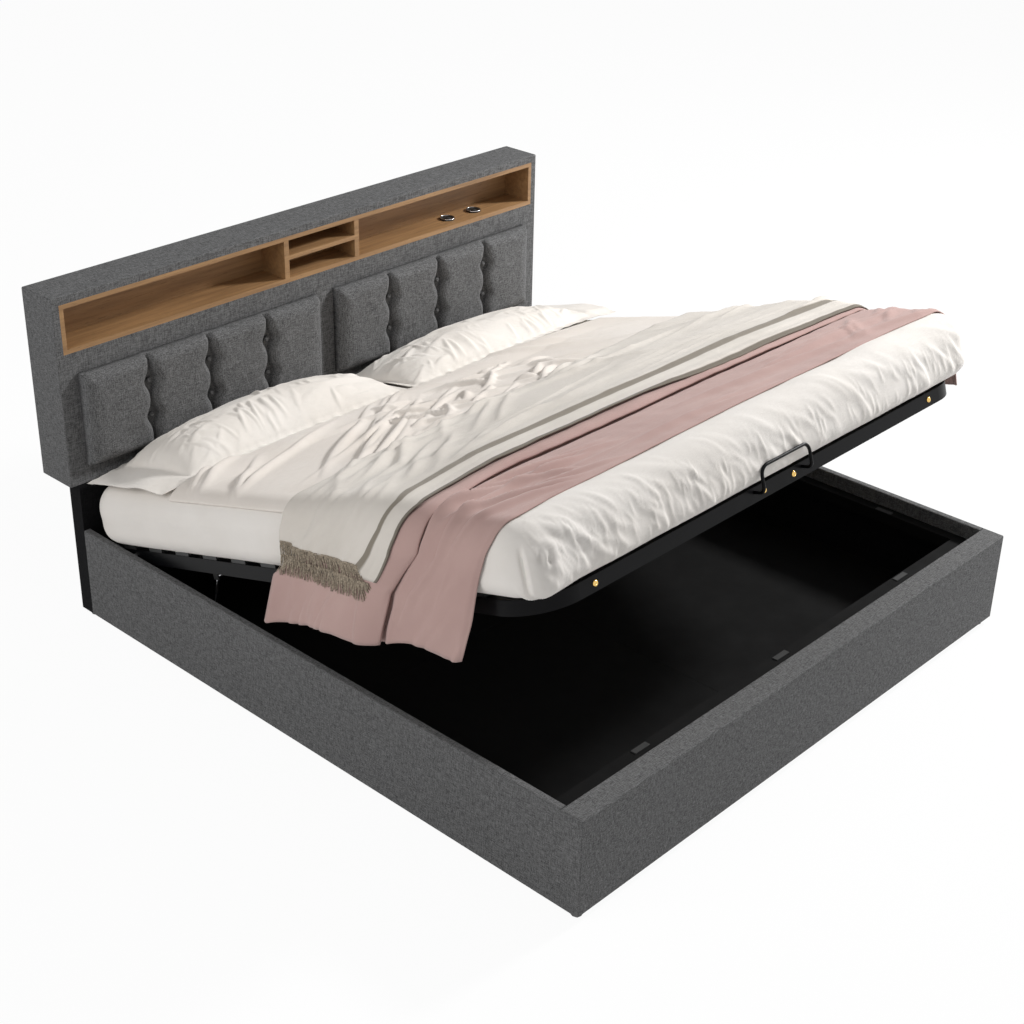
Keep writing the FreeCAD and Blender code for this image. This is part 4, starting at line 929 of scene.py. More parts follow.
@dataclass
class ChargingSockets:
    """Two round sockets in the niche floor, each a stepped black body in a bright rim."""

    first_x: float = 0.661
    spacing: float = 0.136
    y: float = 1.043
    floor: float = 0.953
    radius: float = 0.028
    barrel: float = 0.024
    rim: float = 0.00175

    def places(self) -> Array:
        """Return where each socket stands on the niche floor."""
        xs = self.first_x + np.arange(2) * self.spacing
        return np.stack([xs, np.full(2, self.y), np.full(2, self.floor)], axis=-1)

    def build(self, finishes: Finishes) -> None:
        """Make the bodies and the rims by turning their profiles upright.

        Args:
            finishes: the materials by slot.
        """
        up = np.array([0.0, 0.0, 1.0])
        body = np.array([
            [0.0, -0.045], [self.barrel - 0.001, -0.045], [self.barrel, -0.044], [self.barrel, 0.0],
            [self.radius - 0.0005, 0.0002], [self.radius, 0.001], [self.radius, 0.0042],
            [self.radius - 0.0008, 0.005], [0.0205, 0.005], [0.019, 0.0032], [0.009, 0.003],
            [0.008, 0.0042], [0.0, 0.0044],
        ])
        bodies = turned("socket_bodies", body, self.places(), up, 48)
        finishes.dress(bodies, "black_plastic", Body.BOX, "charging_sockets")
        turn = np.linspace(0, math.pi, 9)
        middle = self.radius - self.rim
        arch = np.stack([middle + self.rim * np.cos(turn), 0.0051 + 0.0019 * np.sin(turn)], axis=-1)
        rims = turned("socket_bright_rims", np.concatenate([arch, arch[:1]]), self.places(), up, 64)
        finishes.dress(rims, "chrome", Body.BOX, "socket_rims")


# Platform


@dataclass
class PlatformFittings:
    """The mattress bar, and the brass bolts through the foot tube."""

    half: float = 0.113
    radius: float = 0.005
    forward: float = 0.036
    root: float = 0.008
    top: float = 0.083
    corner: float = 0.028
    foot: float = 0.016
    bolt_xs: tuple[float, ...] = (-0.787, -0.0705, 0.0705, 0.787)
    bolt_radius: float = 0.009

    def bar_path(self) -> Array:
        """Return the bar's line: out of the tube, a bend up, a bend across, and the same mirrored.

        Returns:
            Points in the row frame.
        """
        steps = 14
        along, away = quarter(steps)
        out, side = np.full(steps, -self.forward), np.full(steps, self.half)
        up_bend = np.stack([side, out + self.foot * along, self.root + self.foot * away], axis=-1)
        over_bend = np.stack([self.half - self.corner * away, out, self.top - self.corner * along], axis=-1)
        start = np.array([[self.half, 0.0, self.root]])
        half = np.concatenate([start, up_bend, over_bend])
        whole = np.concatenate([half, half[::-1] * [-1, 1, 1]])
        return PLATFORM.place(whole[:, 0], whole[:, 1], whole[:, 2])

    def bolts(self) -> Piece:
        """Return the bolt heads: a washer, a domed head and a shallow round socket.

        Returns:
            All four heads as one piece.
        """
        places = PLATFORM.place(np.array(self.bolt_xs), 0.0, 0.0)
        outward = PLATFORM.place(0.0, -1.0, 0.0) - PLATFORM.place(0.0, 0.0, 0.0)
        turn = np.linspace(0.12, 1.12, 7)
        head = self.bolt_radius * 0.98
        dome = np.stack([head * np.cos(turn), 0.001 + 0.0048 * np.sin(turn)], axis=-1)
        ends = np.array([[0.0, 0.0], [head + 0.0004, 0.0], [head + 0.0004, 0.001]])
        crown = dome[-1, 1]
        well = np.array([[0.0033, crown], [0.0028, crown - 0.0012], [0.0, crown - 0.0014]])
        return turned("brass_bolt_heads", np.concatenate([ends, dome, well]), places, outward, 32)

    def build(self, finishes: Finishes) -> None:
        """Make the bar and the bolts.

        Args:
            finishes: the materials by slot.
        """
        bar = swept("mattress_bar", self.bar_path(), self.radius)
        finishes.dress(bar, "black_steel", Body.PLATFORM, "mattress_retainer")
        finishes.dress(self.bolts(), "brass", Body.PLATFORM, "foot_bolts")


# Bedding


@dataclass
class Mattress:
    """The mattress's form: a rounded slab, as rings drawn in towards its faces."""

    half: float = 1.040
    foot: float = -0.030
    head: float = 1.940
    low: float = 0.0343
    high: float = 0.2293
    foot_r: float = 0.100
    head_r: float = 0.130
    top_r: float = 0.085
    bottom_r: float = 0.060
    snug: float = 0.010
    top_rings: tuple[float, ...] = (0.13, 0.2, 0.32, 0.5, 0.7, 0.88)
    ticking_steps: int = 400
    ticking_inset: float = 0.004
    sheet_thick: float = 0.002
    sheet_tuck: float = 0.12
    gathered: tuple[float, float] = (-1.32, 1.25)
    gathered_steps: int = 725
    other_steps: int = 312
    corner_seam: float = -1.018
    seam_swing: float = 0.065
    flap_rise: float = 0.010
    flap_dip: float = 0.006
    dimples: tuple[tuple[float, float], ...] = ((-0.978, 0.205), (-0.957, 0.190))
    gathers: tuple[Creases, ...] = (
        Creases(11, 96, (-1.06, 1.15), (0.15, 0.36), (-52, -22), (0.12, 0.36), (0.010, 0.024),
                (0.002, 0.0052), 0.4, 0.4),
        Creases(12, 260, (-1.1, 1.15), (0.10, 0.225), (-78, -36), (0.05, 0.12), (0.005, 0.010),
                (0.0015, 0.004), 0.6, 0.6),
        Creases(15, 60, (-1.02, -0.5), (0.12, 0.27), (-75, -20), (0.06, 0.16), (0.007, 0.013),
                (0.002, 0.006), 0.5, 0.6),
        Creases(14, 30, (-1.0, 1.0), (0.32, 0.40), (-40, 10), (0.15, 0.4), (0.012, 0.03),
                (0.0010, 0.0025), 0.7, 0.5),
        Creases(16, 70, (-2.9, -1.15), (0.11, 0.22), (60, 120), (0.05, 0.14), (0.008, 0.02),
                (0.0015, 0.004), 0.7, 0.4),
        Creases(18, 7, (-0.97, -0.80), (0.19, 0.28), (-50, -25), (0.09, 0.16), (0.010, 0.016),
                (0.006, 0.010), 0.4, 0.6),
    )

    def legs(self) -> Array:
        """Return the lengths of the outline's straights and bends, from the middle of the foot.

        Returns:
            Nine lengths in metres.
        """
        straight_x = 2 * self.half - 2 * self.foot_r
        head_x = 2 * self.half - 2 * self.head_r
        straight_y = self.head - self.foot - self.foot_r - self.head_r
        return np.array([
            straight_x / 2, self.foot_r * math.pi / 2, straight_y, self.head_r * math.pi / 2, head_x,
            self.head_r * math.pi / 2, straight_y, self.foot_r * math.pi / 2, straight_x / 2,
        ])

    def outline(self, drawn: Array, walk: Array) -> tuple[Array, Array]:
        """Return a rounded rectangle at each inset.

        Small insets are offsets; further in, the outline shrinks towards the middle.

        Args:
            drawn: insets, one per ring.
            walk: places round the widest ring, as distances from the middle of the foot.

        Returns:
            Across and along places with one row per ring.
        """
        lengths = self.legs()
        marks = np.concatenate([[0.0], np.cumsum(lengths)])
        leg = np.clip(np.searchsorted(marks, walk, side="right") - 1, 0, 8)
        share = (walk - marks[leg]) / lengths[leg]
        near, far = self.foot + self.foot_r, self.head - self.head_r
        fx, hx = self.half - self.foot_r, self.half - self.head_r

        def over(*knots: float) -> Array:
            """Return values that go evenly from each knot to the next along the legs."""
            return np.array(knots)[leg] + np.diff(knots)[leg] * share

        centre_x = over(0, fx, fx, hx, hx, -hx, -hx, -fx, -fx, 0)
        centre_y = over(near, near, near, far, far, far, far, near, near, near)
        angle = (leg // 2 - 1) * math.pi / 2 + (leg % 2) * share * math.pi / 2
        radius = self.foot_r + (self.head_r - self.foot_r) * over(0, 0, 0, 1, 1, 1, 1, 0, 0, 0)
        reach = radius[None] - np.minimum(drawn, self.top_r)[:, None]
        shrink = 1 - (np.clip(drawn - self.top_r, 0, None) / (self.half - self.top_r))[:, None]
        middle = (self.foot + self.head) / 2
        x = (centre_x + reach * np.cos(angle)) * shrink
        a = middle + (centre_y + reach * np.sin(angle) - middle) * shrink
        return x, a

    def profile(self, inset: float, steps: int, tuck: float) -> tuple[Array, Array, Array]:
        """Return insets, levels and the walked length from under the edge, up the side and over the top.

        Args:
            inset: how far the whole form is drawn in.
            steps: points in each quarter round.
            tuck: how far in the first ring lies, below.

        Returns:
            Insets, levels and walked lengths, one per ring.
        """
        up, off = quarter(steps)
        low_r, top_r = self.bottom_r - inset, self.top_r - inset
        under = np.linspace(tuck, self.bottom_r, 5)[:-1]
        drawn = [under, inset + low_r * up]
        level = [np.full(len(under), self.low + inset), self.low + inset + low_r * off]
        rise = np.linspace(self.low + self.bottom_r, self.high - self.top_r, 8)[1:-1]
        drawn += [np.full(len(rise), inset), inset + top_r * off]
        level += [rise, self.high - inset - top_r * up]
        over = np.array([*self.top_rings, self.half])
        drawn.append(over)
        level.append(np.full(len(over), self.high - inset))
        d, n = np.concatenate(drawn), np.concatenate(level)
        walked = np.concatenate([[0.0], np.cumsum(np.hypot(np.diff(d), np.diff(n)))])
        return d, n, walked

    def core(self, finishes: Finishes) -> None:
        """Make the mattress itself: the form drawn in under the sheet, closed below.

        Args:
            finishes: the materials by slot.
        """
        drawn, level, _ = self.profile(self.ticking_inset, 8, self.half)
        x, a = self.outline(drawn, np.linspace(0, self.legs().sum(), self.ticking_steps, endpoint=False))
        points = PLATFORM.place(x, a, level[:, None])
        uv = np.stack([x, a], axis=-1)
        piece = cleaned(surface("mattress_ticking", points, uv, around=True))
        finishes.dress(piece, "ticking", Body.PLATFORM, "mattress")

    def pleats(self, walk: Array, walked: Array) -> Array:
        """Return how far the sheet's gathers stand off: slanting folds on the foot face, small ones below.

        Args:
            walk: distance round the mattress from the middle of its foot, negative to the left.
            walked: distance up over the edge from under the mattress.

        Returns:
            Heights in metres.
        """
        long, low, dense, flats, side, tuft = strewn(walk, walked, self.gathers)
        past = walk - (self.corner_seam + self.seam_swing * np.clip((0.125 - walked) / 0.05, 0, 1) ** 2)
        flap = self.flap_rise * smooth(past, 0.0, 0.005) * (1 - smooth(past, 0.02, 0.16))
        flap = flap - self.flap_dip * np.exp(-((past + 0.006) / 0.006) ** 2)
        flap = flap * smooth(0.245 - walked, 0.0, 0.04) * smooth(walked, 0.055, 0.07)
        for place, level in self.dimples:
            flap = flap - 0.008 * np.exp(-((walk - place) / 0.008) ** 2 - ((walked - level) / 0.016) ** 2)
        fade = 1 - smooth(walked, 0.22, 0.36)
        soft = 0.002 * swell(walk, walked, 13, 0.35)
        smoothed = smooth(walk, -1.02, -0.96)
        front = (np.maximum(long, tuft) * fade + 0.7 * (low + dense)) * smoothed
        return front + flap + flats + side + soft

    def sheet(self, finishes: Finishes) -> Piece:
        """Return the fitted sheet: the form's surface with its gathers, walled and tucked under.

        Args:
            finishes: the materials by slot.

        Returns:
            The sheet.
        """
        drawn, level, walked = self.profile(0.0, 15, self.sheet_tuck)
        total = self.legs().sum()
        first, last = self.gathered
        others = np.linspace(last, total + first, self.other_steps)[1:-1]
        walk = np.concatenate([np.linspace(first, last, self.gathered_steps), others])
        near = np.where(walk < 0, walk + total, walk)
        x, a = self.outline(drawn, near)
        signed = np.where(walk > total / 2, walk - total, walk)
        grow = self.pleats(signed[None, :], walked[:, None])
        slope_d, slope_n = np.gradient(drawn), np.gradient(level)
        size = np.hypot(slope_d, slope_n)
        sideways, upward = (slope_n / size)[:, None], (slope_d / size)[:, None]
        step = 0.001
        wider_x, wider_a = self.outline(drawn - step, near)
        out_x, out_a = (wider_x - x) / step, (wider_a - a) / step
        flat = drawn[:, None] > self.top_r
        x = x + np.where(flat, 0, out_x * grow * np.abs(sideways))
        a = a + np.where(flat, 0, out_a * grow * np.abs(sideways))
        up = level[:, None] + grow * np.where(level > 0.13, 1, -0.3)[:, None] * np.abs(upward)
        over_tube = smooth(0.036 - a, 0.0, 0.012) * (1 - smooth(level, 0.04, 0.12))[:, None]
        up = up - self.snug * over_tube
        points = PLATFORM.place(x, a, up)
        uv = np.stack(np.broadcast_arrays(signed[None, :], walked[:, None]), axis=-1)
        piece = cleaned(surface("fitted_sheet_cloth", points, uv, around=True), 1e-6)
        wall(piece, self.sheet_thick, -1.0)
        return finishes.dress(piece, "white_sheet", Body.PLATFORM, "fitted_sheet")


@dataclass
class PinkBlanket:
    """The blanket across the foot half: one deep crease with a roll behind it, and two hanging lobes."""

    roll: float = 0.085
    over: float = 0.046
    right_end: float = 1.2655
    left_end: float = -1.3505
    thick: float = 0.003
    width: float = 0.65
    woven: float = 0.72
    lie: float = 0.0055
    bank: float = 0.006
    roll_rise: float = 0.024
    foot_lobe: float = 0.024
    head_lobe: float = 0.044
    crowding: float = 1.55
    steps: tuple[int, int] = (225, 213)
    near_edge: Curve = (
        (-1.3505, -1.2395, -1.1335, -1.04, -0.96, -0.82, -0.63, -0.3, 0.0, 0.36, 0.74, 0.9, 1.05, 1.2655),
        (0.262, 0.188, 0.131, 0.074, 0.053, 0.068, 0.068, 0.077, 0.082, 0.073, 0.068, 0.05, 0.05, 0.06),
    )
    far_edge: Curve = ((-1.3505, -1.2, -1.08, 1.2655), (1.085, 0.985, 0.75, 0.715))
    crease_run: Curve = (
        (-1.35, -1.13, -1.03, -0.907, -0.84, -0.73, -0.625, -0.49, -0.15, 1.27),
        (0.366, 0.384, 0.386, 0.410, 0.437, 0.458, 0.462, 0.446, 0.440, 0.445),
    )
    streaks: tuple[Creases, ...] = (
        Creases(21, 9, (-1.0, 1.0), (0.03, 0.22), (-9, 1), (0.7, 1.6), (0.014, 0.026),
                (0.008, 0.017), 0.3, 0.12),
        Creases(22, 7, (-0.97, -0.62), (0.06, 0.24), (-26, -2), (0.3, 0.6), (0.010, 0.018),
                (0.009, 0.018), 0.3, 0.3),
        Creases(27, 9, (0.62, 1.0), (0.06, 0.24), (25, 60), (0.12, 0.28), (0.010, 0.018),
                (0.004, 0.008), 0.5, 0.3),
        Creases(23, 16, (-0.9, 1.1), (0.29, 0.62), (-4, 5), (0.4, 1.3), (0.008, 0.022),
                (0.002, 0.006), 0.5, 0.1),
        Creases(24, 22, (-1.42, -1.10), (0.0, 0.66), (-16, 12), (0.16, 0.42), (0.010, 0.028),
                (0.003, 0.010), 0.5, 0.3),
    )

    def start(self, across: Array) -> Array:
        """Return where the near edge lies along the bed."""
        return np.interp(across, *self.near_edge)

    def end(self, across: Array) -> Array:
        """Return where the far edge lies along the bed."""
        return np.interp(across, *self.far_edge)

    def split(self, across: Array) -> Array:
        """Return the share at which the deep crease runs."""
        return np.interp(across, *self.crease_run) + 0.004 * np.sin(across * 9.1)

    def climb(self, behind: Array) -> Array:
        """Return the roll's rise behind the crease: a short step up, a level ceiling, a round front."""
        turn = behind / self.roll
        return 0.42 * smooth(turn, 0.0, 0.16) + 0.58 * smooth(turn, 0.42, 0.95)

    def lean(self, behind: Array) -> Array:
        """Return how far the roll hangs forward over the crease, as a share of its reach."""
        turn = behind / self.roll
        return plateau(turn, (0.12, 0.50), (0.60, 1.0))

    def height(self, across: Array, share: Array, outer: bool = False) -> Array:
        """Return the blanket's lift off the bed.

        Towards the deep crease a bank climbs and drops into it; behind it a round roll rises at once.
        Streaks fan out over the bank from the left corner. Past the left edge two lobes stand off, each
        with its own upright flutes.

        Args:
            across: unrolled distance across the bed.
            share: place between the near edge, 0, and the far edge, 1.
            outer: whether what lies on top is asked for, where the roll hangs over the crease.

        Returns:
            Heights in metres.
        """
        crease, metres = self.split(across), share * self.width
        hang = smooth(-across, 0.99, 1.13)
        deep = smooth(-across, 1.06, 1.34)
        open_up = smooth(across, -0.95, -0.6)
        bank = self.bank * smooth(share, 0.08, crease - 0.06)
        bank = bank * (1 - smooth(share, crease - 0.045, crease - 0.028))
        climb = self.climb(share - crease)
        rise = smooth(share, crease - 0.036, crease + 0.022) if outer else climb
        full = (self.roll_rise + 0.013 * open_up) * (1 - 0.45 * smooth(across, 0.35, 0.95))
        roll = rise * full * (1 - 0.25 * smooth(share, crease + 0.16, crease + 0.30))
        roll = roll * (1 - 0.75 * smooth(share, 0.80, 0.97))
        fan = plateau(share, (0.0, 0.05), (crease - 0.06, crease - 0.025))
        wide, corner, bars, along_roll, flute = strewn(across, metres, self.streaks)
        top = bank + roll + fan * (wide + corner + bars)
        top = top + along_roll * (1 - 0.6 * hump(share, crease, crease + 0.2))
        past = crease - share
        foot_lobe = self.foot_lobe * smooth(past, 0.010, 0.06)
        foot_lobe = foot_lobe * (1 - 0.65 * smooth(past, 0.12, crease + 0.02))
        head_lobe = self.head_lobe * climb * (1 - 0.75 * smooth(-past, 0.10, 0.44))
        lobes = np.where(share < crease, foot_lobe, head_lobe)
        side = 0.002 + lobes * (0.55 + 0.45 * deep) + flute * (0.3 + 0.7 * deep)
        right = smooth(across, 1.05, 1.2)
        down = 0.006 + 0.010 * folds(metres, across, 25, 2, (0.10, 0.16), (-10, 10), 1.2)
        fine = 0.0010 * swell(across * 0.5, metres, 26, 0.05)
        return self.lie + fine * (1 - hang) + top * (1 - hang) * (1 - right) + side * hang + down * right

    def outer(self, across: Array, along: Array) -> Array:
        """Return the height of the blanket's upper face where it lies, and 0 beyond it.

        Args:
            across: unrolled distances across the bed.
            along: distances from the platform's foot.

        Returns:
            Heights in metres.
        """
        near, far = self.start(across), self.end(across)
        share = (along - near) / (far - near)
        there = plateau(share, (-0.03, 0.01), (0.985, 1.03))
        return there * (self.height(across, np.clip(share, 0, 1), True) + self.thick)

    def gathered(self, across: Array, step: Array) -> Array:
        """Return shares along the blanket for even steps from 0 to 2, closest together at the crease.

        Args:
            across: unrolled distances across the bed.
            step: even steps.

        Returns:
            Shares from 0 to 1.
        """
        crease = self.split(across)
        before = crease * (1 - np.clip(1 - step, 0, 1) ** self.crowding)
        return before + (1 - crease) * np.clip(step - 1, 0, 1) ** self.crowding

    def build(self, finishes: Finishes) -> None:
        """Make the blanket as one grid of places across and shares along.

        Args:
            finishes: the materials by slot.
        """
        rows, columns = self.steps
        across, even = crossed(np.linspace(self.right_end, self.left_end, rows), np.linspace(0, 2, columns))
        share = self.gathered(across, even)
        near, far = self.start(across), self.end(across)
        along = near + (far - near) * share
        lift = self.height(across, share)
        along = along - self.over * self.lean(share - self.split(across))
        rim = np.minimum(share, 1 - share)
        lift = lift * (0.45 + 0.55 * smooth(rim, 0.0, 0.025))
        hem = smooth(-across, 1.13, 1.345)
        tip = 0.020 * (1 - smooth(share, 0.0, 0.14)) - 0.018 * hump(share, 0.06, 0.34)
        tip = tip - 0.018 * hump(share, 0.42, 0.98) + 0.004 * smooth(share, 0.9, 1.0)
        across = across - tip * hem
        points = BED_TOP.place(across, along, lift)
        uv = np.stack([across, share * self.woven], axis=-1)
        piece = surface("pink_blanket_cloth", points, uv)
        wall(piece, self.thick)
        finishes.dress(piece, "pink_cloth", Body.PLATFORM, "pink_blanket")


@dataclass
class Duvet:
    """The thin creased duvet between the throw and the pillows."""

    half: float = 1.020
    near: float = 0.722
    far: float = 1.475
    thick: float = 0.004
    lie: float = 0.0028
    puff: float = 0.007
    head_puff: float = 0.016
    steps: tuple[int, int] = (270, 175)
    creases: tuple[Creases, ...] = (
        Creases(31, 24, (-1.0, -0.1), (0.80, 1.45), (24, 44), (0.40, 1.05), (0.009, 0.020),
                (0.008, 0.019), 0.3, 0.22),
        Creases(32, 20, (0.1, 1.0), (0.80, 1.40), (-48, -14), (0.3, 0.9), (0.012, 0.028),
                (0.004, 0.011), 0.35, 0.25),
        Creases(33, 40, (-0.34, 0.34), (0.92, 1.36), (-60, 60), (0.10, 0.30), (0.009, 0.020),
                (0.011, 0.024), 0.35, 0.8),
    )

    def height(self, across: Array, along: Array) -> Array:
        """Return its lift: long folds that fan from the left, crumples in the middle, and a soft swell.

        Args:
            across: unrolled distances across the bed.
            along: distances from the platform's foot.

        Returns:
            Heights in metres.
        """
        left, right, crumple = strewn(across, along, self.creases)
        body = np.maximum(np.maximum(left, right), crumple) + 0.003 * swell(across, along, 34, 0.4)
        inside = smooth(self.half - np.abs(across), 0.0, 0.16)
        inside = inside * (0.25 + 0.75 * smooth(0.95 - across, 0.0, 0.4))
        head = self.head_puff * inside * hump(along, self.far - 0.14, self.far + 0.05)
        return self.lie + (self.puff * inside + head) + body * (0.1 + 0.9 * inside)

    def outer(self, across: Array, along: Array) -> Array:
        """Return the height of the duvet's upper face where it lies, and 0 beyond it.

        Args:
            across: unrolled distances across the bed.
            along: distances from the platform's foot.

        Returns:
            Heights in metres.
        """
        there = plateau(along, (self.near - 0.03, self.near + 0.005), (self.far, self.far + 0.02))
        there = there * smooth(self.half - np.abs(across), -0.03, 0.0)
        return there * (self.height(across, along) + self.thick)

    def build(self, finishes: Finishes) -> None:
        """Make the duvet as one grid.

        Args:
            finishes: the materials by slot.
        """
        rows, columns = self.steps
        lengths = np.linspace(self.near, self.far, columns)
        across, along = crossed(np.linspace(self.half, -self.half, rows), lengths)
        points = BED_TOP.place(across, along, self.height(across, along))
        piece = surface("duvet_cloth", points, np.stack([across, along], axis=-1))
        wall(piece, self.thick)
        finishes.dress(piece, "cream_duvet", Body.PLATFORM, "duvet")


@dataclass
class StripedThrow:
    """The fringed throw laid slanting over blanket and duvet, and down at the left side."""

    under: PinkBlanket
    beside: Duvet
    right_end: float = 1.085
    left_end: float = -1.127
    slant: float = 0.0857
    band: float = 0.052
    stripe: float = 0.064
    thick: float = 0.003
    lie: float = 0.004
    doubled: float = 0.006
    layer_drop: float = 0.036
    steps: tuple[int, int] = (260, 185)
    near_edge: Curve = (
        (-1.157, -1.127, -1.0885, -1.043, -0.983, -0.896, -0.795, -0.68, -0.39, -0.06, 0.37, 0.82, 1.085),
        (0.520, 0.492, 0.447, 0.390, 0.355, 0.368, 0.377, 0.385, 0.377, 0.374, 0.352, 0.350, 0.33),
    )
    far_edge: Curve = ((-1.127, -1.04, -0.9, 1.085), (0.912, 0.895, 0.895, 1.060))
    creases: tuple[Creases, ...] = (
        Creases(41, 13, (-0.9, 1.1), (0.12, 0.62), (-4, 14), (0.4, 1.3), (0.010, 0.024),
                (0.006, 0.015), 0.3, 0.15),
        Creases(42, 13, (-1.05, -0.45), (0.14, 0.50), (10, 44), (0.2, 0.6), (0.010, 0.024),
                (0.005, 0.013), 0.35, 0.3),
        Creases(43, 9, (-1.25, -1.0), (0.10, 0.46), (-16, 16), (0.15, 0.35), (0.012, 0.026),
                (0.003, 0.009), 0.4, 0.3),
    )

    def start(self, across: Array) -> Array:
        """Return where the near edge lies along the bed."""
        return np.interp(across, *self.near_edge)

    def end(self, across: Array) -> Array:
        """Return where the far edge lies along the bed."""
        return np.interp(across, *self.far_edge)

    def hem(self, along: Array) -> Array:
        """Return the unrolled distance of the hem on the left, which rises towards the head."""
        return self.left_end + self.slant * np.clip(along - 0.53, -0.05, 0.36)

    def height(self, across: Array, along: Array) -> Array:
        """Return its lift: over whatever lies below, doubled beyond its border, with long folds.

        Args:
            across: unrolled distances across the bed.
            along: distances from the platform's foot.

        Returns:
            Heights in metres.
        """
        below = np.maximum(self.under.outer(across, along), self.beside.outer(across, along))
        metres = along - self.start(across)
        long, cross, hang = strewn(across, metres, self.creases)
        doubled = self.doubled * smooth(metres, self.band, self.band + 0.012)
        inner = smooth(metres, 0.10, 0.16)
        top = smooth(across, -1.10, -0.95)
        swollen = 0.016 * smooth(across, -0.95, 0.2) * hump(metres, 0.06, 0.60)
        folds_up = np.maximum(long, cross) * (0.25 + 0.75 * top)
        return below + self.lie + doubled + swollen + inner * (folds_up + hang)

    def outer(self, across: Array, along: Array) -> Array:
        """Return the height of the throw's upper face at places that it covers."""
        return self.height(across, along) + self.thick

    def build(self, finishes: Finishes) -> Piece:
        """Make the throw as one grid whose lifts follow what it lies on, smoothed across and along.

        The lower layer shows at the near edge as a band, and hangs lower than the upper one.

        Args:
            finishes: the materials by slot.

        Returns:
            The throw.
        """
        rows, columns = self.steps
        across, share = crossed(np.linspace(self.right_end, self.left_end, rows), np.linspace(0, 1, columns))
        near, far = self.start(across), self.end(across)
        along = near + (far - near) * share
        lift = settled_over(self.height(across, along))
        metres = along - near
        wider = 0.72 - 0.14 * smooth(across, 0.0, 0.6) + 0.28 * smooth(-across, 0.93, 1.06)
        layer = 1 - smooth(metres, self.band, self.band + 0.012)
        down = smooth(-across, 1.0, -self.left_end)
        across = across + (self.hem(along) - self.left_end - self.layer_drop * layer) * down
        points = BED_TOP.place(across, along, lift)
        woven = metres * wider
        off = woven - self.stripe
        woven = woven + 1.3 * smooth(-across, 0.93, 1.10) * off * np.exp(-((off / 0.022) ** 2))
        piece = surface("striped_throw", points, np.stack([across, woven], axis=-1))
        wall(piece, self.thick)
        return finishes.dress(piece, "cream_throw", Body.PLATFORM, "throw")


def settled_over(lift: Array) -> Array:
    """Return lifts that never fall below the given ones, with narrow dips bridged by averaging.

    Args:
        lift: heights on a grid.

    Returns:
        Heights on the same grid.
    """
    result = lift.copy()
    for _ in range(12):
        spread = np.pad(result, 1, mode="edge")
        mean = (spread[:-2, 1:-1] + spread[2:, 1:-1] + spread[1:-1, :-2] + spread[1:-1, 2:]) / 4
        result = np.maximum(lift, mean)
    return result


@dataclass
class Fringe:
    """Two rows of threads, one at the hem of each layer of the throw."""

    throw: StripedThrow
    length: float = 0.053
    step: float = 0.044
    count: int = 92
    levels: int = 8
    sides: int = 5
    first: float = 0.548
    run: float = 0.362
    thread: float = 0.0022

    def row(self, rank: int) -> Array:
        """Return one row's threads as rings of points.

        Each thread hangs from the hem outside whatever lies under it, sways, and thins to its end.

        Args:
            rank: 0 for the upper row and 1 for the lower.

        Returns:
            Points by thread, level and side.
        """
        pick = np.random.default_rng(60 + rank)
        spot = (np.arange(self.count) + 0.5) / self.count
        root = self.first - 0.030 * rank + (self.run + 0.050 * rank) * spot
        down = np.linspace(0, 1, self.levels)
        sway = pick.normal(0, 0.0030, (self.count, 1)) * down**1.4
        curl = 0.0010 * np.sin(math.tau * (down * 1.6 + pick.uniform(0, 1, (self.count, 1))))
        reach = self.length * pick.uniform(0.86, 1.08, (self.count, 1))
        along = root[:, None] + sway + curl + 0.030 * (spot[:, None] - 0.2) * down
        across = self.throw.hem(root)[:, None] + 0.004 - rank * self.step - reach * down
        hem = self.throw.outer(np.full(self.count, self.throw.left_end + 0.001), root)[:, None]
        under = self.throw.under.outer(across, along) + 0.002
        ripple = pick.normal(0, 0.0009, (self.count, 1)) * down
        out = np.maximum(under, hem - 0.002 - 0.006 * rank - 0.006 * down) + self.thread + ripple
        thin = (self.thread - 0.0010 * down)[None, :, None]
        turn = np.arange(self.sides) * math.tau / self.sides
        x = -(BED_TOP.half + out[:, :, None] + thin * np.cos(turn))
        up = BED_TOP.top - BED_TOP.bend + (BED_TOP.side + across)[:, :, None]
        return PLATFORM.place(x, along[:, :, None] + thin * np.sin(turn), up)

    def build(self, finishes: Finishes) -> Piece:
        """Make both rows as one piece.

        Args:
            finishes: the materials by slot.

        Returns:
            The threads.
        """
        points = np.concatenate([self.row(0), self.row(1)])
        faces = repeated(grid_faces(self.levels, self.sides, True), len(points), self.levels * self.sides)
        piece = cleaned(mesh_object("throw_fringe_threads", points.reshape(-1, 3), faces), fill=True)
        return finishes.dress(piece, "grey_brown_fringe", Body.PLATFORM, "throw_fringe")


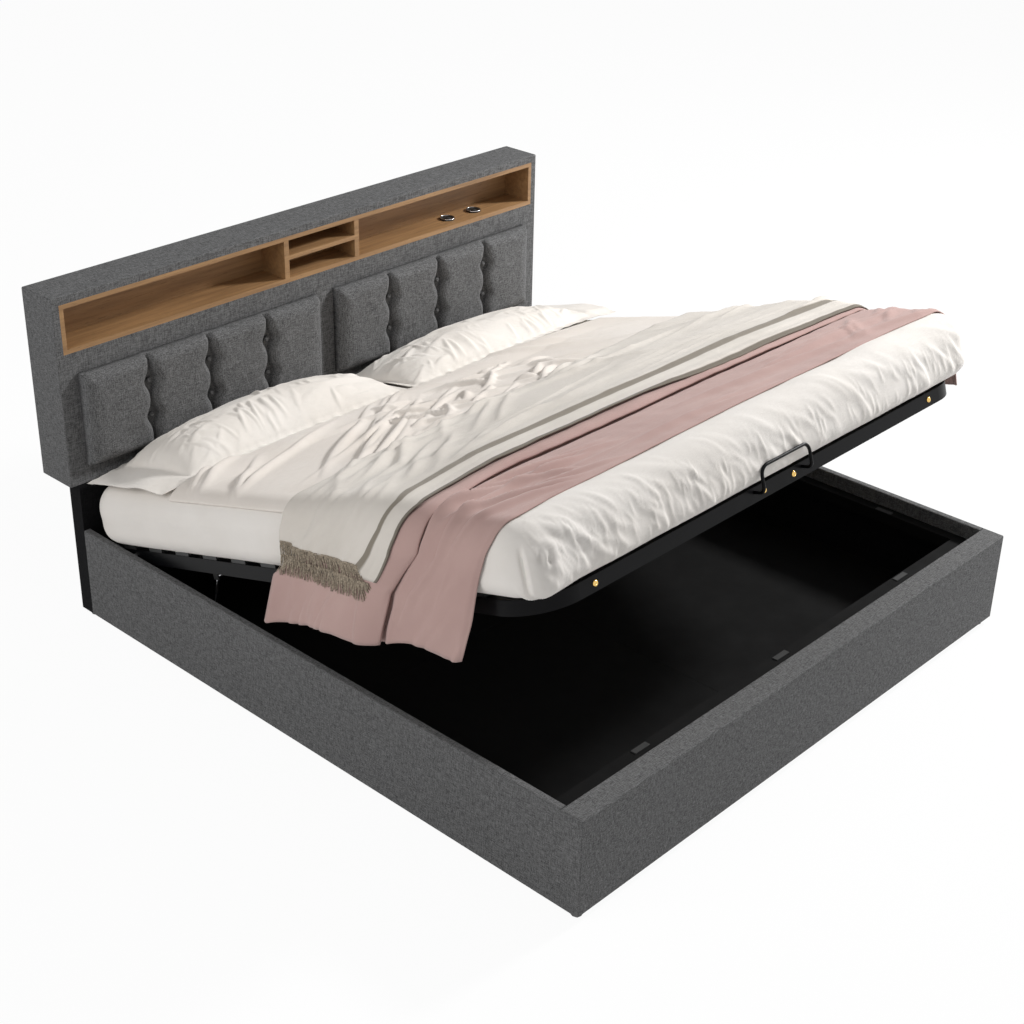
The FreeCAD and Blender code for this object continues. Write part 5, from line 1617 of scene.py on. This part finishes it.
@dataclass
class Pillow:
    """One long pillow: a crowned body, a sewn edge, and the case's empty flap at its outer end."""

    side: int
    seed: int
    puff: float
    stand: float
    flap: float = 0.130
    edge: float = 0.022
    split: float = 0.022
    steps: tuple[int, int] = (230, 95)

    def seat(self) -> tuple[Array, Array]:
        """Return the box that the CAD pillow holds, across, along and up on the platform.

        Returns:
            The box's least and greatest corners.
        """
        mesh = frame["nodes"]["pillows"].data
        flat = np.zeros(len(mesh.vertices) * 3, np.float32)
        mesh.vertices.foreach_get("co", flat)
        points = PLATFORM.settle(flat.reshape(-1, 3).astype(float))
        points = points[(points[:, 0] - self.split) * self.side > 0]
        return points.min(0), points.max(0)

    def creases(self, length: float) -> tuple[Creases, ...]:
        """Return the creases at the flap, at the inner end, in from the front and along the middle.

        Args:
            length: the pillow's length.

        Returns:
            Four sets of creases.
        """
        return (
            Creases(self.seed, 26, (self.flap + 0.02, self.flap + 0.22), (-0.19, 0.19), (-35, 35),
                    (0.10, 0.30), (0.008, 0.018), (0.003, 0.008), 0.5, 0.5),
            Creases(self.seed + 1, 26, (length - 0.26, length - 0.03), (-0.19, 0.19), (-35, 35),
                    (0.10, 0.28), (0.008, 0.018), (0.003, 0.009), 0.5, 0.5),
            Creases(self.seed + 2, 44, (0.2, length - 0.1), (-0.2, 0.02), (60, 125), (0.06, 0.20),
                    (0.007, 0.016), (0.003, 0.008), 0.5, 0.7),
            Creases(self.seed + 3, 14, (0.3, length - 0.2), (-0.1, 0.15), (-20, 30), (0.2, 0.5),
                    (0.014, 0.03), (0.003, 0.008), 0.5, 0.5),
        )

    def levels(self, run: Array, y: Array, v: Array, full: Array, inner: Array) -> list[Array]:
        """Return the heights of the upper and the lower cloth over the pillow's bed.

        Args:
            run: distances from the flap's end.
            y: distances from the pillow's middle line.
            v: the same across, from -1 at the front to 1 at the back.
            full: how plump the pillow is, from 0 to 1.
            inner: how far out towards the sewn edge, from 0 to 1.

        Returns:
            Two grids of heights on the platform.
        """
        low, high = self.seat()
        length, thick = high[0] - low[0], high[2] - low[2]
        crease = np.maximum.reduce(strewn(run, y, self.creases(length)))
        soft = 0.004 * swell(run, y, self.seed + 4, 0.35)
        droop = 0.016 * (1 - smooth(run, 0.0, self.flap + 0.04))
        wave = 0.003 * swell(run, y, self.seed + 5, 0.16) * (1 - smooth(run, self.flap, self.flap + 0.05))
        ruffle = 0.0025 * swell(run * 2.0, y, self.seed + 6, 0.11) * smooth(inner, 0.93, 1.0)
        settle = 0.014 * smooth(-v, 0.2, 1.0)
        seam = low[2] + 0.22 * thick - droop - settle + wave + ruffle
        standing = smooth(v, -1.0, -0.72) * (1 - smooth(run, self.flap * 0.7, self.flap + 0.05))
        seam = seam + self.stand * standing
        upper = seam + 0.0015 + self.puff * thick * full + (crease + soft) * np.clip(full * 3, 0, 1)
        lower = seam - 0.0015 - 0.20 * thick * full
        return [upper, np.maximum(lower, low[2] + 0.001)]

    def build(self, finishes: Finishes) -> None:
        """Make the pillow from an upper and a lower grid that meet at its seam.

        The thickness is a product of two powers of one less the distance from the middle, so the body is
        full in the middle and thin at its corners. Creases run in from both ends and from the front.

        Args:
            finishes: the materials by slot.
        """
        low, high = self.seat()
        length, wide, _ = high - low
        rows, columns = self.steps
        u, v = crossed(np.linspace(0, 1, rows), np.sin(np.linspace(-1, 1, columns) * math.pi / 2))
        run = u * length
        body = np.clip((run - self.flap) / (length - self.flap - self.edge), 0, 1) * 2 - 1
        drawn = 1 - 0.055 * (1 - body**2)
        y = v * wide / 2 * drawn
        inner = np.clip(np.abs(v) / (1 - 2 * self.edge / wide), 0, 1)
        full = ((1 - np.abs(body) ** 2.6) * (1 - inner**2.3)) ** 0.60
        levels = self.levels(run, y, v, full, inner)
        x = low[0] + run if self.side < 0 else high[0] - run
        y = (low[1] + high[1]) / 2 + y
        sheets = [np.stack([x, y, level], axis=-1) for level in levels]
        sheets[1][0], sheets[1][-1] = sheets[0][0], sheets[0][-1]
        sheets[1][:, 0], sheets[1][:, -1] = sheets[0][:, 0], sheets[0][:, -1]
        flat = np.concatenate([sheet.reshape(-1, 3) for sheet in sheets])
        quads = grid_faces(rows, columns)
        faces = np.concatenate([quads, quads[:, ::-1] + rows * columns])
        uv = np.concatenate([np.stack([run, y], axis=-1).reshape(-1, 2)] * 2)
        name = "creased_pillow_" + ("left" if self.side < 0 else "right")
        points = PLATFORM.place(flat[:, 0], flat[:, 1], flat[:, 2])
        piece = cleaned(mesh_object(name, points, faces, uv), 1e-6)
        finishes.dress(piece, "cream_pillow", Body.PLATFORM, "pillows")


TAUPE = (0.245, 0.215, 0.175)
BEDDING_SLOTS: dict[str, Finish] = {
    "ticking": Bedcloth("quilted_ticking", (0.72, 0.70, 0.66), (0.66, 0.64, 0.60), quilt=0.11),
    "white_sheet": Bedcloth("washed_white_cotton", (0.80, 0.765, 0.725), (0.74, 0.70, 0.655)),
    "cream_duvet": Bedcloth("cream_cotton", (0.80, 0.745, 0.69), (0.73, 0.665, 0.60), crinkle=0.3),
    "pink_cloth": Bedcloth("dusty_pink_cotton", (0.50, 0.345, 0.315), (0.43, 0.285, 0.26), sheen=0.2),
    "cream_throw": Bedcloth(
        "cream_throw_cloth", (0.71, 0.665, 0.61), (0.62, 0.575, 0.52), crinkle=0.3,
        stripes=(Stripe(0.003, 0.006, 0.001, shaded(TAUPE, 0.75)),
                 Stripe(StripedThrow.stripe, 0.0115, 0.002, TAUPE)),
    ),
    "grey_brown_fringe": Solid("fringe_yarn", (0.30, 0.25, 0.19), 0.95, grain=1400.0, bump=0.5,
                               patch=210.0, spread=0.65, blotched=True),
    "cream_pillow": Bedcloth("creased_cream_cotton", (0.83, 0.79, 0.74), (0.77, 0.72, 0.66), crinkle=0.35),
}


class Bedding:
    """Everything soft on the platform."""

    def build(self, finishes: Finishes) -> None:
        """Make the mattress, the linen and the pillows, in the order in which they lie.

        Args:
            finishes: the materials by slot.
        """
        mattress = Mattress()
        mattress.core(finishes)
        sheet = mattress.sheet(finishes)
        blanket, duvet = PinkBlanket(), Duvet()
        blanket.build(finishes)
        duvet.build(finishes)
        throw = StripedThrow(blanket, duvet)
        cloth = throw.build(finishes)
        threads = Fringe(throw).build(finishes)
        Pillow(-1, 70, puff=0.74, stand=0.0).build(finishes)
        Pillow(1, 90, puff=0.57, stand=0.018).build(finishes)


# Studio


@dataclass
class Studio:
    """A pale floor, soft lamps and the camera."""

    place: tuple[float, float, float] = (-3.742, -3.360, 3.077)
    azimuth: float = -47.40
    elevation: float = 28.235
    roll: float = 1.216
    lens: float = 62.044
    sensor: float = 36.0
    far: float = 60.0
    floor_half: float = 30.0
    ambient: float = 0.32

    def camera(self) -> None:
        """Put the camera at the photograph's place and turn it: azimuth, elevation, then roll."""
        a, e, r = (math.radians(value) for value in (self.azimuth, self.elevation, self.roll))
        back = np.array([math.sin(a) * math.cos(e), -math.cos(a) * math.cos(e), math.sin(e)])
        level = np.array([math.cos(a), math.sin(a), 0.0])
        upright = np.cross(back, level)
        right = level * math.cos(r) + upright * math.sin(r)
        up = upright * math.cos(r) - level * math.sin(r)
        data = bpy.data.cameras.new("camera")
        data.lens, data.sensor_width = self.lens, self.sensor
        data.clip_end = self.far
        camera = linked("camera", data)
        turn = np.eye(4)
        turn[:3, 0], turn[:3, 1], turn[:3, 2], turn[:3, 3] = right, up, back, self.place
        camera.matrix_world = Matrix(turn.tolist())
        bpy.context.scene.camera = camera

    def lamp(self, name: str, place: Sequence[float], aim: Sequence[float], size: float,
             power: float) -> None:
        """Add one square soft lamp that faces a point.

        Args:
            name: the lamp's name.
            place: where it stands.
            aim: the point that it faces.
            size: its width.
            power: its watts.
        """
        data = bpy.data.lights.new(name, "AREA")
        data.size, data.energy = size, power
        lamp = linked(name, data)
        lamp.location = place
        lamp.rotation_mode = "QUATERNION"
        lamp.rotation_quaternion = (Vector(place) - Vector(aim)).to_track_quat("Z", "Y")

    def floor(self) -> None:
        """Lay a pale floor that keeps the shadow and shows nearly white."""
        wide = self.floor_half * np.array([[-1, -1, 0], [1, -1, 0], [1, 1, 0], [-1, 1, 0]], float)
        piece = mesh_object("studio_floor", wide, np.array([[0, 1, 2, 3]]))
        recipe = Recipe("pale_floor", roughness=0.9)
        recipe.colour((0.86, 0.86, 0.86))
        glow = recipe.add("Emission", {"Color": (1, 1, 1, 1), "Strength": 1.0}).outputs["Emission"]
        share = recipe.math("MULTIPLY", recipe.straight_rays(), 0.95)
        mix = recipe.add("MixShader", {"Fac": share})
        recipe.feed(mix.inputs[1], recipe.shader.outputs["BSDF"])
        recipe.feed(mix.inputs[2], glow)
        recipe.feed(recipe.tree.nodes["Material Output"].inputs["Surface"], mix.outputs["Shader"])
        piece.data.materials.append(recipe.material)

    def world(self) -> None:
        """Fill with soft even light, and show white behind the bed."""
        world = bpy.data.worlds.new("studio")
        world.use_nodes = True
        nodes = Nodes(world.node_tree)
        back = nodes.tree.nodes["Background"]
        level = {"Value": nodes.straight_rays(), "To Min": self.ambient, "To Max": 1.0}
        nodes.feed(back.inputs["Strength"], nodes.add("MapRange", level).outputs["Result"])
        back.inputs["Color"].default_value = (1.0, 1.0, 1.0, 1.0)
        bpy.context.scene.world = world

    def build(self) -> None:
        """Set the stage."""
        self.camera()
        self.floor()
        self.world()
        self.lamp("key", (5.6, -1.9, 4.3), (0.0, 0.3, 0.4), 0.9, 590.0)
        self.lamp("fill", (-5.0, 0.4, 3.2), (0.0, 0.0, 0.5), 3.0, 105.0)
        bpy.context.scene.view_settings.view_transform = "Standard"
        log.info("studio: camera, floor and two lamps")


def main() -> None:
    """Build the bed's looks in order."""
    logging.basicConfig(level=logging.INFO, format="%(name)s: %(message)s")
    finishes = Finishes(FRAME_SLOTS)
    finishes.apply()
    TuftedPads().build(finishes)
    ChargingSockets().build(finishes)
    PlatformFittings().build(finishes)
    Bedding().build(Finishes(BEDDING_SLOTS))
    Studio().build()
    bpy.context.view_layer.update()


if __name__ == "__main__":
    main()
